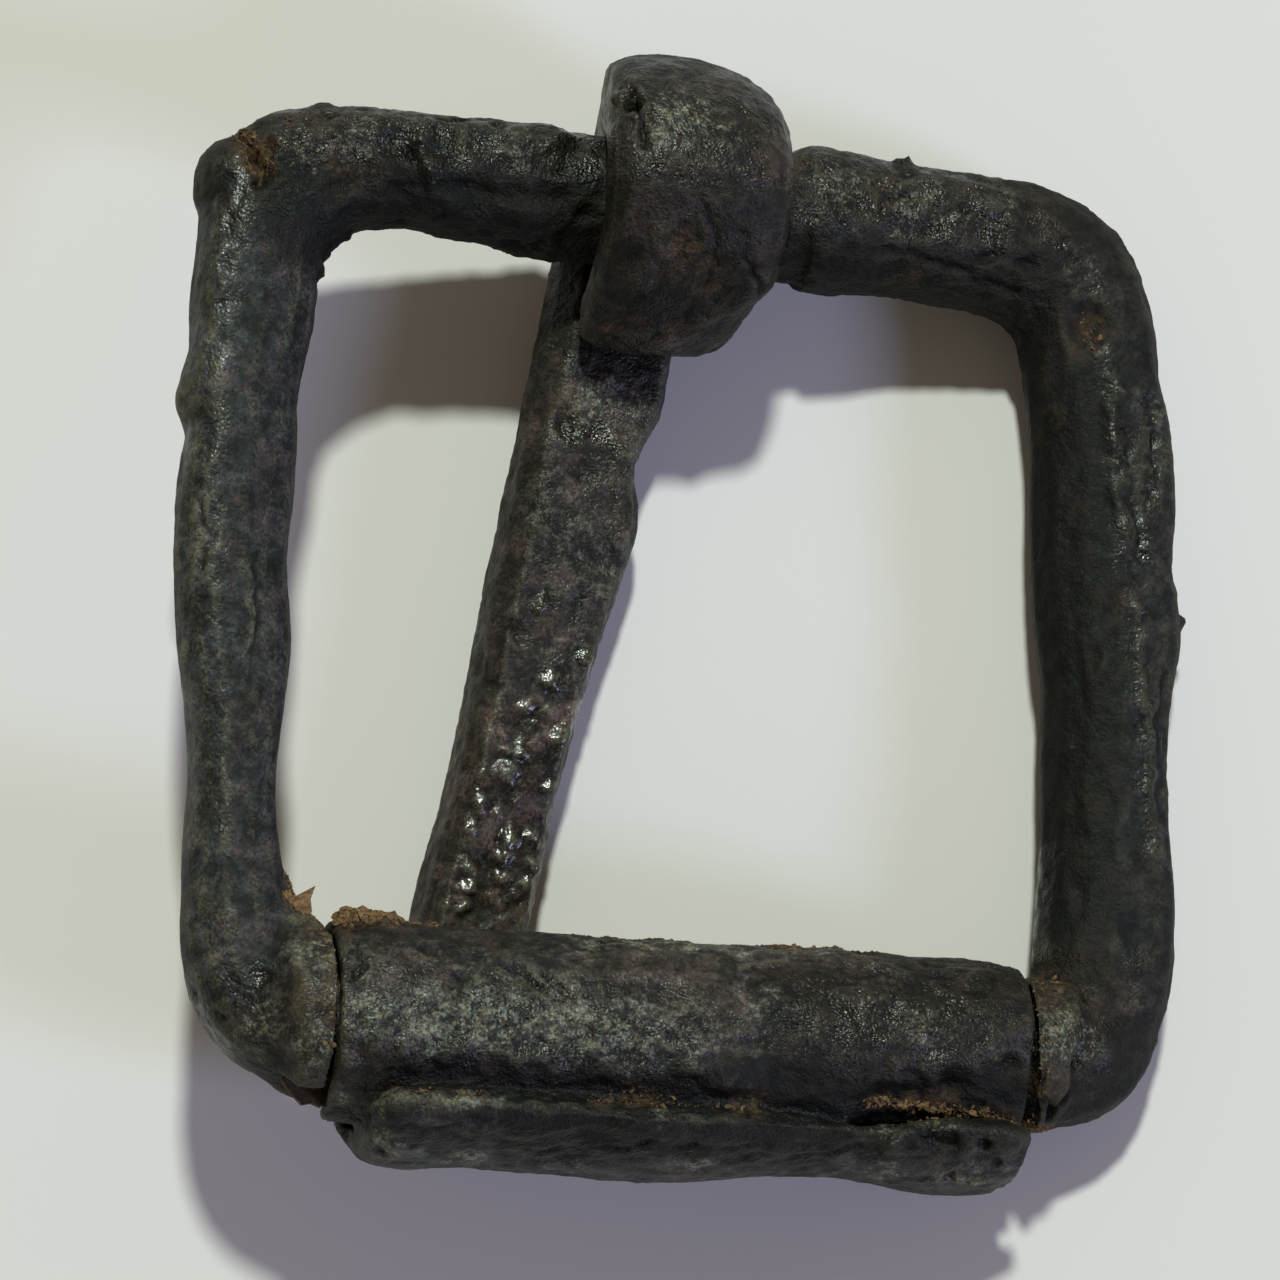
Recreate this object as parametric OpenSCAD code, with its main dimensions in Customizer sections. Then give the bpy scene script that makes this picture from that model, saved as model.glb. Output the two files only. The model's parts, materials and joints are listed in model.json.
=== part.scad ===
// Single loop buckle of forged iron, heavily corroded: a bent bar frame, a wrapped pin and a
// sheet roller. It lies on its face, back side up, propped on the pin. Millimetres.
// In the frame's own plane X runs along the strap bar, Y from the roller to the strap bar, and Z
// is the back. The whole is then laid down on the surface Z = 0.

/* [Frame] */
// Distance between the axes of the two side bars
frame_w = 40.5; // [40:0.1:41]
// Distance between the axes of the strap bar and the roller bar
frame_reach = 38.8; // [38.4:0.1:39.2]
// Radius of the round length of the strap bar that the pin turns on
strap_bar_r = 2.95; // [2.7:0.05:2.95]
// Radius of the round length of the bar inside the roller
roller_bar_r = 2.9; // [2.7:0.05:2.9]

/* [Pin] */
// Radius of the eye that goes round the strap bar
pin_eye_r = 3.25; // [3.2:0.05:3.4]

/* [Roller] */
// Radius of the roller's bore
roller_bore_r = 3.2; // [3.1:0.05:3.3]
// Gap between the two turns of the sheet at the open seam
seam_gap = 0.3; // [0.2:0.05:0.4]

/* [Lying] */
// Roll about the buckle's length, which lifts the left side
lie_roll = 13; // [12.8:0.1:13.2]
// Pitch, which lowers the strap bar below the roller
lie_pitch = -1.3; // [-1.4:0.1:-1.2]
// Height of the frame's middle above the surface
lie_lift = 7.6; // [7.6:0.01:7.8]
// Place of the frame's middle, seen from above, from the middle of the whole
lie_at = [-0.5, -0.32];

/* [Hidden] */

strap_axis_y = frame_reach / 2;
roller_axis_y = -frame_reach / 2;
round_facets = 72;
steps_between_rows = 3;
frame_steps = 3;
bar_sides = 14;
bar_squareness = 0.82;

// Frame: one row for each section of the bent bar, anticlockwise from the strap bar's left end.
// ACROSS and UP are its middle in half widths and half reaches, WIDE its width in the frame's
// plane, DEEP its thickness, RIDGE how far its back leans outward, HIGH how far it is raised.
ACROSS = 0;
UP = 1;
WIDE = 2;
DEEP = 3;
RIDGE = 4;
HIGH = 5;
frame_rows = [
    [-0.935, 0.925, 7.0, 5.6, 0.0, 0.0],
    [-0.970, 0.798, 5.8, 5.4, -0.5, 0.0],
    [-0.980, 0.648, 5.8, 5.3, -0.6, 0.0],
    [-0.988, 0.534, 5.3, 5.2, -0.6, 0.0],
    [-1.004, 0.440, 5.5, 5.2, -0.6, 0.0],
    [-0.990, 0.355, 5.1, 5.2, -0.6, 0.0],
    [-0.999, 0.228, 5.3, 5.2, -0.7, 0.0],
    [-1.004, 0.062, 5.1, 5.1, -0.6, 0.0],
    [-0.988, -0.124, 5.2, 5.0, -0.4, 0.0],
    [-0.980, -0.275, 4.6, 4.8, -0.2, 0.0],
    [-0.980, -0.440, 3.9, 4.6, 0.0, 0.0],
    [-0.977, -0.596, 4.2, 4.7, 0.0, 0.0],
    [-0.965, -0.710, 4.6, 4.9, 0.0, 0.0],
    [-0.950, -0.830, 5.1, 5.2, 0.0, 0.0],
    [-0.905, -0.945, 5.6, 5.3, 0.0, 0.0],
    [-0.850, -0.990, 5.7, 5.7, 0.0, 0.0],
    [-0.780, -1.000, 6.0, 6.0, 0.0, 0.0],
    [-0.730, -1.000, 5.2, 5.2, 0.0, 0.0],
    [-0.400, -1.000, 5.2, 5.2, 0.0, 0.0],
    [0.000, -1.000, 5.2, 5.2, 0.0, 0.0],
    [0.400, -1.000, 5.2, 5.2, 0.0, 0.0],
    [0.770, -1.000, 5.2, 5.2, 0.0, 0.0],
    [0.830, -1.000, 6.1, 6.0, 0.0, 0.0],
    [0.890, -0.990, 6.1, 5.7, 0.0, 0.0],
    [0.963, -0.948, 6.6, 5.3, 0.0, 0.0],
    [1.006, -0.850, 6.3, 5.2, -0.3, 0.0],
    [1.017, -0.750, 6.35, 5.2, -0.7, 0.0],
    [1.019, -0.610, 6.05, 5.2, -1.1, 0.0],
    [1.013, -0.440, 5.5, 5.1, -1.2, 0.0],
    [1.008, -0.260, 5.5, 5.1, -1.2, 0.0],
    [1.014, -0.095, 5.65, 5.2, -1.2, 0.0],
    [1.017, 0.036, 6.5, 5.2, -1.2, 0.0],
    [1.000, 0.186, 6.25, 5.2, -1.2, 0.0],
    [1.000, 0.352, 6.55, 5.2, -1.2, 0.0],
    [0.993, 0.518, 6.4, 5.2, -1.1, 0.0],
    [0.975, 0.650, 6.1, 5.2, -0.8, 0.0],
    [0.958, 0.782, 6.4, 5.2, -0.5, 0.0],
    [0.904, 0.911, 6.95, 5.2, -0.2, 0.0],
    [0.801, 0.968, 6.7, 5.3, 0.0, 0.0],
    [0.700, 0.982, 6.4, 5.4, 0.0, 0.0],
    [0.600, 0.990, 6.3, 5.5, 0.0, 0.0],
    [0.500, 0.998, 6.2, 5.6, 0.0, 0.0],
    [0.380, 1.000, 6.6, 6.0, 0.0, 0.0],
    [0.280, 1.004, 6.6, 6.1, 0.0, 0.0],
    [0.230, 1.000, 5.2, 5.2, 0.0, 0.0],
    [0.000, 1.000, 5.2, 5.2, 0.0, 0.0],
    [-0.280, 1.000, 5.2, 5.2, 0.0, 0.0],
    [-0.335, 1.006, 5.9, 6.0, 0.0, 0.0],
    [-0.440, 1.019, 5.6, 5.7, 0.0, 0.0],
    [-0.550, 1.023, 5.5, 5.7, 0.0, 0.0],
    [-0.665, 1.026, 5.25, 5.6, 0.0, 0.0],
    [-0.770, 1.014, 5.6, 5.6, 0.0, 0.0],
    [-0.865, 0.985, 6.5, 5.7, 0.0, 0.0],
];
strap_round_from = -6.7;
strap_round_to = 5.6;
roller_round_from = -15.8;
roller_round_to = 16.8;

// Lumps on the bar: one row for each section, with its middle, half width and half thickness.
// The nub is the hammered end of the left bar, standing past the strap bar's end. Its places
// are from the crossing of the two bars' axes.
nub_rows = [
    [[-0.35, -3.0, 0.0], 1.2, 1.4],
    [[-0.85, -1.8, 0.1], 1.7, 2.2],
    [[-0.9, -0.6, 0.1], 1.65, 2.3],
    [[-0.9, 0.3, 0.0], 1.4, 2.0],
    [[-0.95, 0.9, 0.0], 0.8, 1.2],
];
// The shoulders are where the bar swells with crust beside the roller's ends. Their places are
// from the middle of the roller bar's axis.
left_shoulder_rows = [
    [[-19.0, 0.7, 0.0], 2.2, 2.1],
    [[-18.2, 0.7, 0.1], 3.3, 3.0],
    [[-17.2, 0.7, 0.2], 3.85, 3.6],
    [[-16.1, 0.6, 0.2], 4.0, 3.9],
    [[-15.7, 0.5, 0.2], 3.75, 3.7],
];
right_shoulder_rows = [
    [[16.7, 0.3, 0.2], 3.4, 3.5],
    [[17.1, 0.4, 0.2], 3.6, 3.6],
    [[18.0, 0.5, 0.1], 3.5, 3.3],
    [[18.9, 0.7, 0.0], 2.9, 2.6],
    [[19.7, 0.9, 0.0], 2.0, 1.8],
];
lump_sides = 12;

// Pin, wrapped part: TURN is the angle round the strap bar, 0 under it, 90 outward and 180 over
// it. MID is the radius of the strip's middle, SIDE its place along the bar, THICK its
// thickness, and SHAPE goes from -1 for the worn section over 0 for the eye's to 1 for the
// shaft's.
TURN = 0;
MID = 1;
SIDE = 2;
STRIP_WIDE = 3;
THICK = 4;
SHAPE = 5;
wrap_rows = [
    [289, 5.85, -1.2, 5.8, 1.2, 0],
    [283, 5.65, -1.0, 6.7, 2.7, 0],
    [270, 5.15, -0.85, 7.1, 3.1, 0],
    [252, 4.7, -0.7, 7.6, 3.0, 0],
    [232, 4.72, -0.5, 8.05, 3.15, 0],
    [208, 4.85, -0.35, 8.3, 3.4, 0],
    [180, 4.95, -0.35, 8.35, 3.7, 0],
    [150, 5.0, -0.3, 8.35, 3.8, -0.5],
    [120, 5.0, -0.25, 8.1, 3.9, -0.9],
    [95, 5.0, -0.3, 7.5, 3.9, -1],
    [65, 4.95, -0.1, 7.0, 3.8, -1],
    [38, 4.95, -0.3, 6.6, 3.6, -0.3],
    [14, 4.97, -1.2, 6.8, 3.55, 0.6],
];
// Pin, shaft: RUN is the distance from the strap bar's axis towards the roller and LEVEL the
// height of the strip's middle in the frame's plane.
RUN = 0;
LEVEL = 1;
shaft_rows = [
    [1.6, -4.98, -1.9, 6.9, 3.55, 0.9],
    [4.0, -5.05, -2.35, 6.7, 4.0, 1],
    [6.4, -5.0, -2.8, 6.6, 4.4, 1],
    [8.9, -5.15, -3.2, 6.7, 4.5, 1],
    [11.2, -5.3, -3.95, 5.9, 4.5, 1],
    [14.1, -5.5, -4.05, 6.7, 4.5, 1],
    [17.7, -5.8, -4.8, 6.3, 4.5, 1],
    [20.7, -6.05, -5.35, 5.8, 4.5, 1],
    [23.7, -6.3, -5.95, 5.4, 4.5, 1],
    [27.6, -6.6, -6.7, 5.3, 4.5, 1],
    [30.0, -6.8, -7.2, 5.5, 4.5, 1],
    [33.2, -7.1, -7.75, 5.5, 4.5, 1],
    [36.5, -7.2, -8.4, 5.1, 4.5, 1],
    [39.0, -7.2, -8.85, 4.6, 4.5, 1],
    [40.7, -7.1, -9.15, 3.5, 3.4, 1],
    [41.6, -7.0, -9.3, 1.9, 1.6, 1],
];
// Sections of the strip, as parts of its half width and half thickness; the second number is 1
// on the side away from the strap bar. The eye is rounded outside and worn down at its outer
// end, and the shaft is bevelled along its left side.
eye_section = [
    [-0.95, -1], [0.95, -1], [1, -0.5], [1, 0.25], [0.9, 0.62], [0.65, 0.88],
    [0.3, 1], [-0.1, 1], [-0.5, 0.95], [-0.84, 0.8], [-1, 0.5], [-1, -0.5],
];
worn_section = [
    [-0.95, -1], [0.9, -1], [1, -0.6], [0.99, -0.05], [0.85, 0.4], [0.62, 0.68],
    [0.35, 0.87], [0, 0.99], [-0.4, 1], [-0.78, 0.9], [-0.97, 0.66], [-1, -0.5],
];
shaft_section = [
    [-0.52, -1], [0.84, -1], [1, -0.6], [1, 0.2], [0.92, 0.7], [0.62, 1],
    [0, 1], [-0.5, 1], [-0.68, 0.9], [-0.8, 0.6], [-0.9, 0.1], [-0.8, -0.55],
];

// Roller: one row for each section along it. FLAKED is the angle up to which the first turn has
// lost its outer skin, below 0 where it is whole, and LIP that of the sheet's free outer edge,
// both from outward towards the back. FIRST is the radius over the first turn, SECOND that over
// the lip and RISE the angle at which the sheet leaves the first turn.
ALONG = 0;
FLAKED = 1;
LIP = 2;
FIRST = 3;
SECOND = 4;
RISE = 5;
roller_rows = [
    [-15.15, -40, -25, 4.4, 5.0, 250],
    [-14.5, -40, -16, 4.5, 5.4, 250],
    [-14.1, -40, 26, 4.55, 5.7, 250],
    [-13.6, -40, 44, 4.6, 6.0, 250],
    [-12.7, -40, 50, 4.6, 6.2, 250],
    [-11.2, -40, 50, 4.55, 6.3, 260],
    [-9.0, -40, 52, 4.5, 6.1, 260],
    [-6.8, -40, 49, 4.5, 6.1, 260],
    [-4.6, -40, 49, 4.5, 6.1, 260],
    [-2.4, -40, 48, 4.5, 6.2, 250],
    [-0.4, -40, 48, 4.6, 6.2, 240],
    [1.6, -40, 48, 4.55, 6.1, 240],
    [3.6, -40, 48, 4.5, 5.85, 240],
    [6.0, -40, 46, 4.65, 5.6, 240],
    [7.8, 0, 44, 4.7, 5.5, 240],
    [9.0, 62, 43, 4.65, 5.55, 240],
    [10.6, 66, 46, 4.6, 5.75, 245],
    [12.4, 70, 52, 4.6, 6.0, 250],
    [14.2, 80, 52, 4.6, 6.0, 260],
    [15.4, 92, 50, 4.5, 5.9, 260],
    [16.15, 100, 46, 4.4, 5.5, 260],
];
// Radius over the part that has lost its skin, and the angle over which the skin's edge slopes
flaked_r = 4.0;
flake_slope = 12;
// Angles of the sheet's inner end, and of where the lip's own steps begin
tail_at = 0;
lip_meets = 300;
turn_steps = 30;
lip_steps = 12;
// The left end's outer turn is drawn back by left_trim at its very end and less up to here
trimmed_to = -12.7;
left_trim = 1.1;
// How far inside the bore the sheet starts, before the bore is cut
bore_allowance = 0.3;
// Angle by which the sheet has risen clear of its tail
rise_to = 345;
full_turn = 360;

// A value or list part way between two
function mix(a, b, part) = a * (1 - part) + b * part;

// Catmull-Rom value between rows b and c
function between(a, b, c, d, f) =
    0.5 * (2 * b + (c - a) * f + (2 * a - 5 * b + 4 * c - d) * f * f + (3 * b - a - 3 * c + d) * f * f * f);

// Rows with further ones put smoothly between them, round a closed loop or along an open run
function closed_rows(rows, steps) = let (n = len(rows)) [
    for (i = [0:n - 1]) for (j = [0:steps - 1])
        between(rows[(i + n - 1) % n], rows[i], rows[(i + 1) % n], rows[(i + 2) % n], j / steps)
];
function open_rows(rows, steps) = let (last = len(rows) - 1) [
    for (i = [0:last - 1]) for (j = [0:steps - 1])
        between(rows[max(i - 1, 0)], rows[i], rows[i + 1], rows[min(i + 2, last)], j / steps),
    rows[last]
];

// Closed solid through rings of equally many points, joined end to end or capped. The ring of a
// sheet runs out along one side and back along the other, and its caps are strips of quads.
module lofted(rings, closed, sheet = false) {
    count = len(rings);
    sides = len(rings[0]);
    end_ring = (count - 1) * sides;
    spans = closed ? count : count - 1;
    walls = [
        for (i = [0:spans - 1]) for (k = [0:sides - 1]) let (
            a = i * sides + k,
            b = i * sides + (k + 1) % sides,
            c = ((i + 1) % count) * sides + (k + 1) % sides,
            d = ((i + 1) % count) * sides + k
        ) each [[a, b, c], [a, c, d]]
    ];
    strip_caps = [
        for (k = [0:sides / 2 - 2]) let (quad = [k, k + 1, sides - 2 - k, sides - 1 - k])
            each [[for (i = [3:-1:0]) quad[i]], [for (i = quad) end_ring + i]]
    ];
    plain_caps = [
        [for (k = [0:sides - 1]) sides - 1 - k],
        [for (k = [0:sides - 1]) end_ring + k]
    ];
    caps = closed ? [] : sheet ? strip_caps : plain_caps;
    polyhedron([for (ring = rings) each ring], concat(walls, caps), convexity = 10);
}

// One point of an oval section, squared off and leaning outward at its back
function power(v, p) = sign(v) * pow(abs(v), p);
function bar_point(row, t) = let (high = power(sin(t), bar_squareness)) [
    row[WIDE] / 2 * power(cos(t), bar_squareness) + (high > 0 ? -row[RIDGE] * high * high : 0),
    row[DEEP] / 2 * high + row[HIGH]
];

module bent_bar() {
    rows = closed_rows(frame_rows, frame_steps);
    count = len(rows);
    half = [frame_w / 2, frame_reach / 2];
    middle = [for (row = rows) [row[ACROSS] * half[0], row[UP] * half[1]]];
    rings = [
        for (i = [0:count - 1]) let (
            along = middle[(i + 1) % count] - middle[(i + count - 1) % count],
            out = [along[1], -along[0]] / norm(along)
        ) [
            for (k = [0:bar_sides - 1]) let (p = bar_point(rows[i], 360 * k / bar_sides))
                [middle[i][0] + out[0] * p[0], middle[i][1] + out[1] * p[0], p[1]]
        ]
    ];
    lofted(rings, true);
}

// Round length of a bar from one place on X to another
module round_bar(from, to, y, r) {
    translate([from, y, 0]) rotate([0, 90, 0]) cylinder(h = to - from, r = r, $fn = round_facets);
}

// Lump whose sections stand across a given direction in the frame's plane
module lump(rows, across) {
    rings = [
        for (row = rows) [
            for (k = [0:lump_sides - 1]) let (t = 360 * k / lump_sides)
                row[0] + row[1] * cos(t) * across + [0, 0, row[2] * sin(t)]
        ]
    ];
    lofted(rings, false);
}

module frame() {
    color("#3b3431") union() {
        bent_bar();
        translate([-frame_w / 2, strap_axis_y, 0]) lump(nub_rows, [1, 0, 0]);
        translate([0, roller_axis_y, 0]) lump(left_shoulder_rows, [0, -1, 0]);
        translate([0, roller_axis_y, 0]) lump(right_shoulder_rows, [0, -1, 0]);
        round_bar(strap_round_from, strap_round_to, strap_axis_y, strap_bar_r);
        round_bar(roller_round_from, roller_round_to, roller_axis_y, roller_bar_r);
    }
}

// Stations of the strip: middle point, width, thickness and section shape
wrap_stations = [
    for (row = wrap_rows) let (y = row[MID] * sin(row[TURN]), z = -row[MID] * cos(row[TURN]))
        [row[SIDE], y, z, row[STRIP_WIDE], row[THICK], row[SHAPE]]
];
shaft_stations = [
    for (row = shaft_rows) [row[SIDE], -row[RUN], row[LEVEL], row[STRIP_WIDE], row[THICK], row[SHAPE]]
];

module strip() {
    rows = open_rows(concat(wrap_stations, shaft_stations), steps_between_rows);
    last = len(rows) - 1;
    rings = [
        for (i = [0:last]) let (
            row = rows[i],
            along = rows[min(i + 1, last)] - rows[max(i - 1, 0)],
            away = [-along[2], along[1]] / norm([along[1], along[2]]),
            section = mix(eye_section, row[5] < 0 ? worn_section : shaft_section, abs(row[5]))
        ) [
            for (p = section) let (out = p[1] * row[4] / 2)
                [row[0] + p[0] * row[3] / 2, row[1] + away[0] * out, row[2] + away[1] * out]
        ]
    ];
    lofted(rings, false);
}

module pin() {
    color("#4a3f3b") translate([0, strap_axis_y, 0]) difference() {
        strip();
        round_bar(strap_round_from - 1, strap_round_to + 1, 0, pin_eye_r);
    }
}

// Height of the sheet above its first turn at an angle, from 0 to 1
function rise(angle, from) = let (part = min(1, max(0, (angle - from) / (rise_to - from))))
    part * part * (3 - 2 * part);

function sheet_angles(row) = [
    for (k = [0:turn_steps - 1]) mix(tail_at, lip_meets, k / turn_steps),
    for (k = [0:lip_steps]) mix(lip_meets, full_turn + row[LIP], k / lip_steps)
];

// Radius over the first turn at an angle, lower where the skin is gone
function first_r(row, angle) =
    mix(flaked_r, row[FIRST], min(1, max(0, 0.5 + (angle - row[FLAKED]) / flake_slope)));

// Place along the roller of a point of a section, drawn back on the outer turn at the left end
function along_at(row, angle) =
    row[ALONG] + left_trim * rise(angle, row[RISE])
        * max(0, (trimmed_to - row[ALONG]) / (trimmed_to - roller_rows[0][ALONG]));

function sheet_point(row, angle, r) = [along_at(row, angle), -r * cos(angle), r * sin(angle)];

// Outline of the sheet across the roller at one section: out along its outside, back inside
function sheet_outline(row) = let (
    under = roller_bore_r - bore_allowance,
    angles = sheet_angles(row),
    last = len(angles) - 1,
    outside = [for (a = angles) mix(first_r(row, a), row[SECOND], rise(a, row[RISE]))],
    inside = [for (a = angles) mix(under, row[FIRST] + seam_gap, rise(a, row[RISE]))]
) concat(
    [for (k = [0:last]) sheet_point(row, angles[k], outside[k])],
    [for (k = [last:-1:0]) sheet_point(row, angles[k], inside[k])]
);

module roller() {
    rings = [for (row = roller_rows) sheet_outline(row)];
    color("#413a35") translate([0, roller_axis_y, 0]) difference() {
        lofted(rings, false, sheet = true);
        round_bar(roller_round_from - 1, roller_round_to + 1, 0, roller_bore_r);
    }
}

// The buckle as it lies on the surface
module laid() {
    translate([lie_at[0], lie_at[1], lie_lift]) rotate([lie_pitch, lie_roll, 0]) children();
}

laid() frame();
laid() pin();
laid() roller();
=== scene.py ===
"""Looks of a corroded iron roller buckle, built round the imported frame.

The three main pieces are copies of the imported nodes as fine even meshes, with crumbs and flakes
of rust added to them. Relief is worked out in millimetres in the buckle's own plane: X along the
strap bar, Y from the roller to the strap bar, Z the back, with the origin midway between the two
pivots. The tables below use that plane too.
"""
import json
import math

import bpy
import numpy as np
from mathutils import Matrix, Vector
from mathutils.bvhtree import BVHTree


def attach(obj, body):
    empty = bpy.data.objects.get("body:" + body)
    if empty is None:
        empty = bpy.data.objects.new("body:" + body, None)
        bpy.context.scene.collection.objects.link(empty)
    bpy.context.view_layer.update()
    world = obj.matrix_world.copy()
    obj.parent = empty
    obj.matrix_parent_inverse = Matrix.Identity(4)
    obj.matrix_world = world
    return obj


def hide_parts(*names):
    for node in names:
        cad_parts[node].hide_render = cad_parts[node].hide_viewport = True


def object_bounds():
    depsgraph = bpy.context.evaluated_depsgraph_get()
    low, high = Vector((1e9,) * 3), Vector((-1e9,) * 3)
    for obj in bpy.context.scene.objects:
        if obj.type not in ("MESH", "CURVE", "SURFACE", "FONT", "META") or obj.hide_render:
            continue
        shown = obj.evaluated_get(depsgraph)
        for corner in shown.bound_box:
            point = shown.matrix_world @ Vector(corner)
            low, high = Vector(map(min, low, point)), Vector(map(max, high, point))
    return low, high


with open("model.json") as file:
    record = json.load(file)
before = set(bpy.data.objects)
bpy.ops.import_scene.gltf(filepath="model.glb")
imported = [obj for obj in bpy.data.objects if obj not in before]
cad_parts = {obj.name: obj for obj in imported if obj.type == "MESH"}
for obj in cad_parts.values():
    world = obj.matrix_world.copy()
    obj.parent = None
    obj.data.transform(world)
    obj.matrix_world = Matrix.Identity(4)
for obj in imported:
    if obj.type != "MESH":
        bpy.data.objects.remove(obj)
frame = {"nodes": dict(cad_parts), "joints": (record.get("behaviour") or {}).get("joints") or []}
cad_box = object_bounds()

MM = 0.001

# The buckle's plane, from the two joints
JOINTS = {joint["name"]: joint for joint in frame["joints"]}
STRAP_PIVOT = Vector(JOINTS["pin_swing"]["pos_m"])
ROLLER_PIVOT = Vector(JOINTS["roller_turn"]["pos_m"])
PLANE_X = Vector(JOINTS["pin_swing"]["axis"]).normalized()
PLANE_Z = PLANE_X.cross(STRAP_PIVOT - ROLLER_PIVOT).normalized()
PLANE_Y = PLANE_Z.cross(PLANE_X)
PLANE_ORIGIN = (STRAP_PIVOT + ROLLER_PIVOT) / 2
TO_ROW = Matrix.Translation(PLANE_ORIGIN) @ Matrix((PLANE_X, PLANE_Y, PLANE_Z)).transposed().to_4x4()
TO_ROW = TO_ROW @ Matrix.Scale(MM, 4)
TO_PLANE = TO_ROW.inverted()
AXIS_Y = (STRAP_PIVOT - ROLLER_PIVOT).dot(PLANE_Y) / 2 / MM
# Lowest point of the solids, which no piece goes below
LOWEST = cad_box[0].z

# Places that stay smooth because something turns there, in millimetres
EYE_SPAN = (-5.6, 4.6)
ROLLER_SPAN = (-15.4, 16.4)
BAR_REACH = 3.15
BORE_REACH = 3.6
EASE = 0.5

# The even meshes: size of a face in millimetres and rounds of smoothing
MESH_GRAIN = {"frame": (0.196, 5), "pin": (0.135, 6), "roller": (0.162, 4)}

# The frame's shoulders beside the roller: side, where the face stands, reach, length and radius
COLLARS = [
    [-1, 15.48, 0.8, 1.1, 4.35],
    [1, 16.40, 2.2, 1.8, 4.35],
]
COLLAR_EASE = 1.2
# How uneven the shoulders' radius and faces are, in millimetres
COLLAR_LUMPS = 0.14
FACE_LUMPS = 0.03
# Distances from the roller's axis over which the swelling sets in
SWELL_FROM = (2.8, 3.5)
# Distances from the roller's axis over which the pressing of the faces sets in and ends
PRESS_FROM = (3.2, 3.5)
PRESS_TO = (4.9, 5.6)
PRESS_SHARE = 0.93
# Directions from the roller's axis, from -1 outward to 1 into the window, where it sets in and ends
OUTER_SIDE = (-0.97, -0.72)
WINDOW_SIDE = (0.75, 0.97)

# The roller's end faces: lowest and highest X, and growth
ROLLER_SEAMS = [
    [-15.9, -14.8, 0.12],
    [15.9, 16.8, 0.14],
]
SEAM_EASE = 0.15
SEAM_REACH = (5.8, 6.2)
SEAM_FACING = (0.45, 0.8)
# Share of the relief that the end faces keep, and its lowest and highest value
SEAM_KEPT = 0.4
SEAM_RELIEF = (-0.15, 0.10)

# Camera, as the photograph was taken
VIEW_TILT = 11.0
IMAGE_ROLL = 2.0
VIEW_DISTANCE = 260.0
SENSOR = 36.0
LENS = 160.875
AIM = Vector((-1.876, -1.300, 7.409))

# Light: each lamp has an elevation and a bearing in degrees, with the bearing anticlockwise from
# the right, then a distance in metres, how many degrees wide it looks, its watts and its colour
KEY_LAMP = ("key", 60.0, 88.0, 1.5, 4.5, 16.0, (0.94, 1.0, 0.92))
SIDE_LAMP = ("side", 28.0, -25.0, 1.0, 14.0, 4.2, (0.58, 0.61, 1.0))
HORIZON = (0.28, 0.235, 0.18)
ZENITH = (0.12, 0.10, 0.08)
PAPER = (0.80, 0.80, 0.78)


# Noise

CORNERS = [np.array((i, j, k)) for i in (0, 1) for j in (0, 1) for k in (0, 1)]
NEIGHBOURS = [np.array((i, j, k)) for i in (-1, 0, 1) for j in (-1, 0, 1) for k in (-1, 0, 1)]
HASH = np.array((73856093, 19349663, 83492791))
TABLE_SIZE = 8192
FAR = 99.0
# What brings the noise to about -1 to 1
NOISE_SCALE = 1.6
# How much of its strength an octave passes on, and the height and steepness of folds
OCTAVE_SHARE = 0.55
FOLD_TOP = 0.5
FOLD_SLOPE = 1.6
# Shares of their reach over which soft spots, streaks and blobs have their full amount
SPOT_FLAT = 0.2
STREAK_FLAT = 0.3
BLOB_FLAT = 0.4


def lattice_index(places):
    mixed = (places * HASH).astype(np.int64)
    return (mixed[:, 0] ^ mixed[:, 1] ^ mixed[:, 2]) % TABLE_SIZE


def noise(points, cell, seed):
    """Smooth noise from about -1 to 1 whose lumps are a cell of millimetres across."""
    directions = np.random.default_rng(seed).normal(size=(TABLE_SIZE, 3))
    directions /= np.linalg.norm(directions, axis=1)[:, None]
    scaled = points / cell
    base = np.floor(scaled).astype(np.int64)
    part = scaled - base
    fade = part ** 3 * (part * (part * 6 - 15) + 10)
    total = np.zeros(len(points))
    for corner in CORNERS:
        weight = np.prod(np.where(corner == 1, fade, 1 - fade), axis=1)
        slope = directions[lattice_index(base + corner)]
        total += weight * np.sum(slope * (part - corner), axis=1)
    return total * NOISE_SCALE


def layers(points, cell, seed, count, folded=False):
    """Several octaves of noise, each half as wide and weaker; folded noise has sharp ridges."""
    total = np.zeros(len(points))
    strength = 1.0
    for level in range(count):
        octave = noise(points, cell / 2 ** level, seed + level)
        total += strength * (FOLD_TOP - FOLD_SLOPE * np.abs(octave) if folded else octave)
        strength *= OCTAVE_SHARE
    return total


def warped(points, cell, reach, seed):
    """Points moved about by smooth noise, so that what is placed by them has uneven edges."""
    return points + reach * np.stack([noise(points, cell, seed + k) for k in range(3)], 1)


def cells(points, cell, seed):
    """Distance to the nearest of scattered points, in cells, and a chance from 0 to 1 for it."""
    draw = np.random.default_rng(seed)
    jitter = draw.random((TABLE_SIZE, 3))
    chance = draw.random(TABLE_SIZE)
    scaled = points / cell
    base = np.floor(scaled).astype(np.int64)
    nearest = np.full(len(points), FAR)
    owner = np.zeros(len(points))
    for step in NEIGHBOURS:
        index = lattice_index(base + step)
        away = np.linalg.norm(base + step + jitter[index] - scaled, axis=1)
        closer = away < nearest
        nearest[closer] = away[closer]
        owner[closer] = chance[index][closer]
    return nearest, owner


def smooth_step(low, high, value):
    part = np.clip((value - low) / (high - low), 0, 1)
    return part * part * (3 - 2 * part)


def within(values, low, high, ease=EASE):
    return smooth_step(low - ease, low, values) * (1 - smooth_step(high, high + ease, values))


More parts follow.
